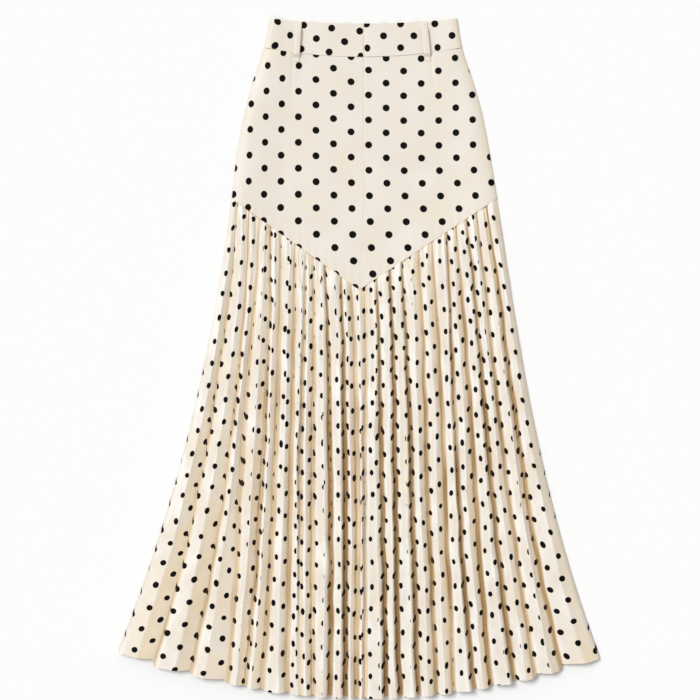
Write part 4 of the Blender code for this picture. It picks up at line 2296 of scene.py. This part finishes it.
@dataclass
class BeltLoops:
    """The two belt loops that show, with the bar tacks at their ends."""

    band: Waistband
    yoke: Yoke
    left: tuple[Place, Place] = ((-0.0940, 0.5205), (-0.0980, 0.4600))
    right: tuple[Place, Place] = ((0.1004, 0.5205), (0.1066, 0.4610))
    left_cut: Cut = Cut(
        width=0.0102, length=0.0643, area=0.00065, rests_on=("waistband_front_left", "yoke_front_left")
    )
    right_cut: Cut = Cut(
        width=0.0102, length=0.0635, area=0.00064, rests_on=("waistband_front_right", "yoke_front_right")
    )
    tack_inset: float = 0.0022
    tack_row: int = 2
    tack_reach: float = 0.78
    stitches: int = 9
    stitch_length: float = 0.0022
    stitch_radius: float = 0.00032
    stitch_rise: float = 0.0001
    stitch_segments: int = 8
    stitch_rings: int = 6

    def _tacks(self, name: str, strap: LoopStrap) -> bpy.types.Object:
        """Sew a bar tack across each end of a loop, as one mesh of short stitches.

        Args:
            name: The tacks' name.
            strap: The loop.

        Returns:
            The tacks' object.
        """
        mesh = bmesh.new()
        run = (strap.bottom - strap.top).normalized()
        size = Vector((self.stitch_radius, self.stitch_length / 2, self.stitch_radius, 1.0))
        ends = (strap.top, run, self.tack_row), (strap.bottom, -run, strap.rows - self.tack_row)
        for end, inward, row in ends:
            centre = end + inward * self.tack_inset
            for step in range(self.stitches):
                side = mix(-self.tack_reach, self.tack_reach, step / (self.stitches - 1))
                height = strap.place(round((side + 1) * strap.columns / 2), row).z + self.stitch_rise
                spot = Vector((centre.x + side * strap.width / 2, centre.y, height))
                bmesh.ops.create_uvsphere(
                    mesh,
                    u_segments=self.stitch_segments,
                    v_segments=self.stitch_rings,
                    radius=1.0,
                    matrix=Matrix.Translation(spot) @ Matrix.Diagonal(size),
                )
        tacks = show(name, mesh)
        tacks.data.shade_smooth()
        return tacks

    def build(self, finish: Satin) -> list[bpy.types.Object]:
        """Build and dress the loops and their tacks.

        Args:
            finish: The plain satin.

        Returns:
            The pieces.
        """
        material = finish.material("satin_loops")
        plans = ("left", self.left, self.left_cut), ("right", self.right, self.right_cut)
        pieces = []
        for side, (top, bottom), cut in plans:
            ends = Vector((*top, 0.0)), Vector((*bottom, 0.0))
            strap = LoopStrap(f"satin_loop_{side}", *ends, self.band, self.yoke)
            loop = strap.make()
            dress(loop, material, Slot.PLAIN, f"belt_loop_{side}")
            tacks = self._tacks(f"bar_tacks_{side}", strap)
            dress(tacks, material, Slot.PLAIN)
            cut.declare(loop, tacks)
            pieces += [loop, tacks]
        return pieces


# ---------------------------------------------------------------------------------------------
# Studio


@dataclass
class Studio:
    """The pale floor, the soft light from the upper left, and the camera straight above."""

    floor_size: float = 14.0
    floor_drop: float = 0.0002
    camera_place: tuple[float, float, float] = (-0.0143, 0.0128, 4.008)
    lens: float = 132.7
    sensor: float = 36.0
    sun_azimuth: float = math.radians(146)
    sun_elevation: float = math.radians(58)
    sun_spread: float = math.radians(24)
    sun_strength: float = 2.0
    sky_strength: float = 0.55
    sky_colour: Colour = (1.0, 1.0, 1.0)

    def build(self) -> None:
        """Build the floor, the lights and the camera."""
        self._floor()
        self._light()
        self._camera()
        bpy.context.scene.view_settings.view_transform = "Standard"

    def _floor(self) -> None:
        """Lay the floor."""
        plane = bmesh.new()
        bmesh.ops.create_grid(plane, x_segments=1, y_segments=1, size=self.floor_size / 2)
        bmesh.ops.translate(plane, verts=plane.verts, vec=(0.0, 0.0, -self.floor_drop))
        floor = show("floor", plane)
        floor.data.materials.append(PaleFloor().material())

    def _light(self) -> None:
        """Hang the key light, and set the pale surroundings."""
        sun = bpy.data.lights.new("key", "SUN")
        sun.energy = self.sun_strength
        sun.angle = self.sun_spread
        key = bpy.data.objects.new("key", sun)
        towards = Vector(
            (
                math.cos(self.sun_azimuth) * math.cos(self.sun_elevation),
                math.sin(self.sun_azimuth) * math.cos(self.sun_elevation),
                math.sin(self.sun_elevation),
            )
        )
        key.rotation_euler = towards.to_track_quat("Z", "Y").to_euler()
        bpy.context.scene.collection.objects.link(key)
        world = bpy.data.worlds.new("studio")
        world.use_nodes = True
        background = world.node_tree.nodes["Background"]
        background.inputs["Color"].default_value = (*self.sky_colour, 1.0)
        background.inputs["Strength"].default_value = self.sky_strength
        bpy.context.scene.world = world

    def _camera(self) -> None:
        """Set the camera above the skirt, looking straight down with the waist at the top."""
        data = bpy.data.cameras.new("camera")
        data.sensor_width = self.sensor
        data.lens = self.lens
        camera = bpy.data.objects.new("camera", data)
        camera.location = self.camera_place
        bpy.context.scene.collection.objects.link(camera)
        bpy.context.scene.camera = camera


# ---------------------------------------------------------------------------------------------
# The whole skirt


def main() -> None:
    """Build the skirt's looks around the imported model."""
    logging.basicConfig(level=logging.INFO, format="%(message)s")
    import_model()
    outline = Outline()
    dotted = DottedSatin(radius=0.0055)
    pressed_satin = Satin(cloud_from=0.35, cloud_depth=0.50, cloud_scale=44.0)
    crumpled = DottedSatin(pressed_satin, unevenness=0.0028, unevenness_scale=60.0)
    band = Waistband(outline)
    yoke = Yoke(outline)
    for assembly, finish in (
        (band, dotted),
        (yoke, dotted),
        (Pleats(outline, yoke), crumpled),
        (BeltLoops(band, yoke), Satin()),
    ):
        for piece in assembly.build(finish):
            LOG.info("dressed %s", piece.name)
    Studio().build()


if __name__ == "__main__":
    main()
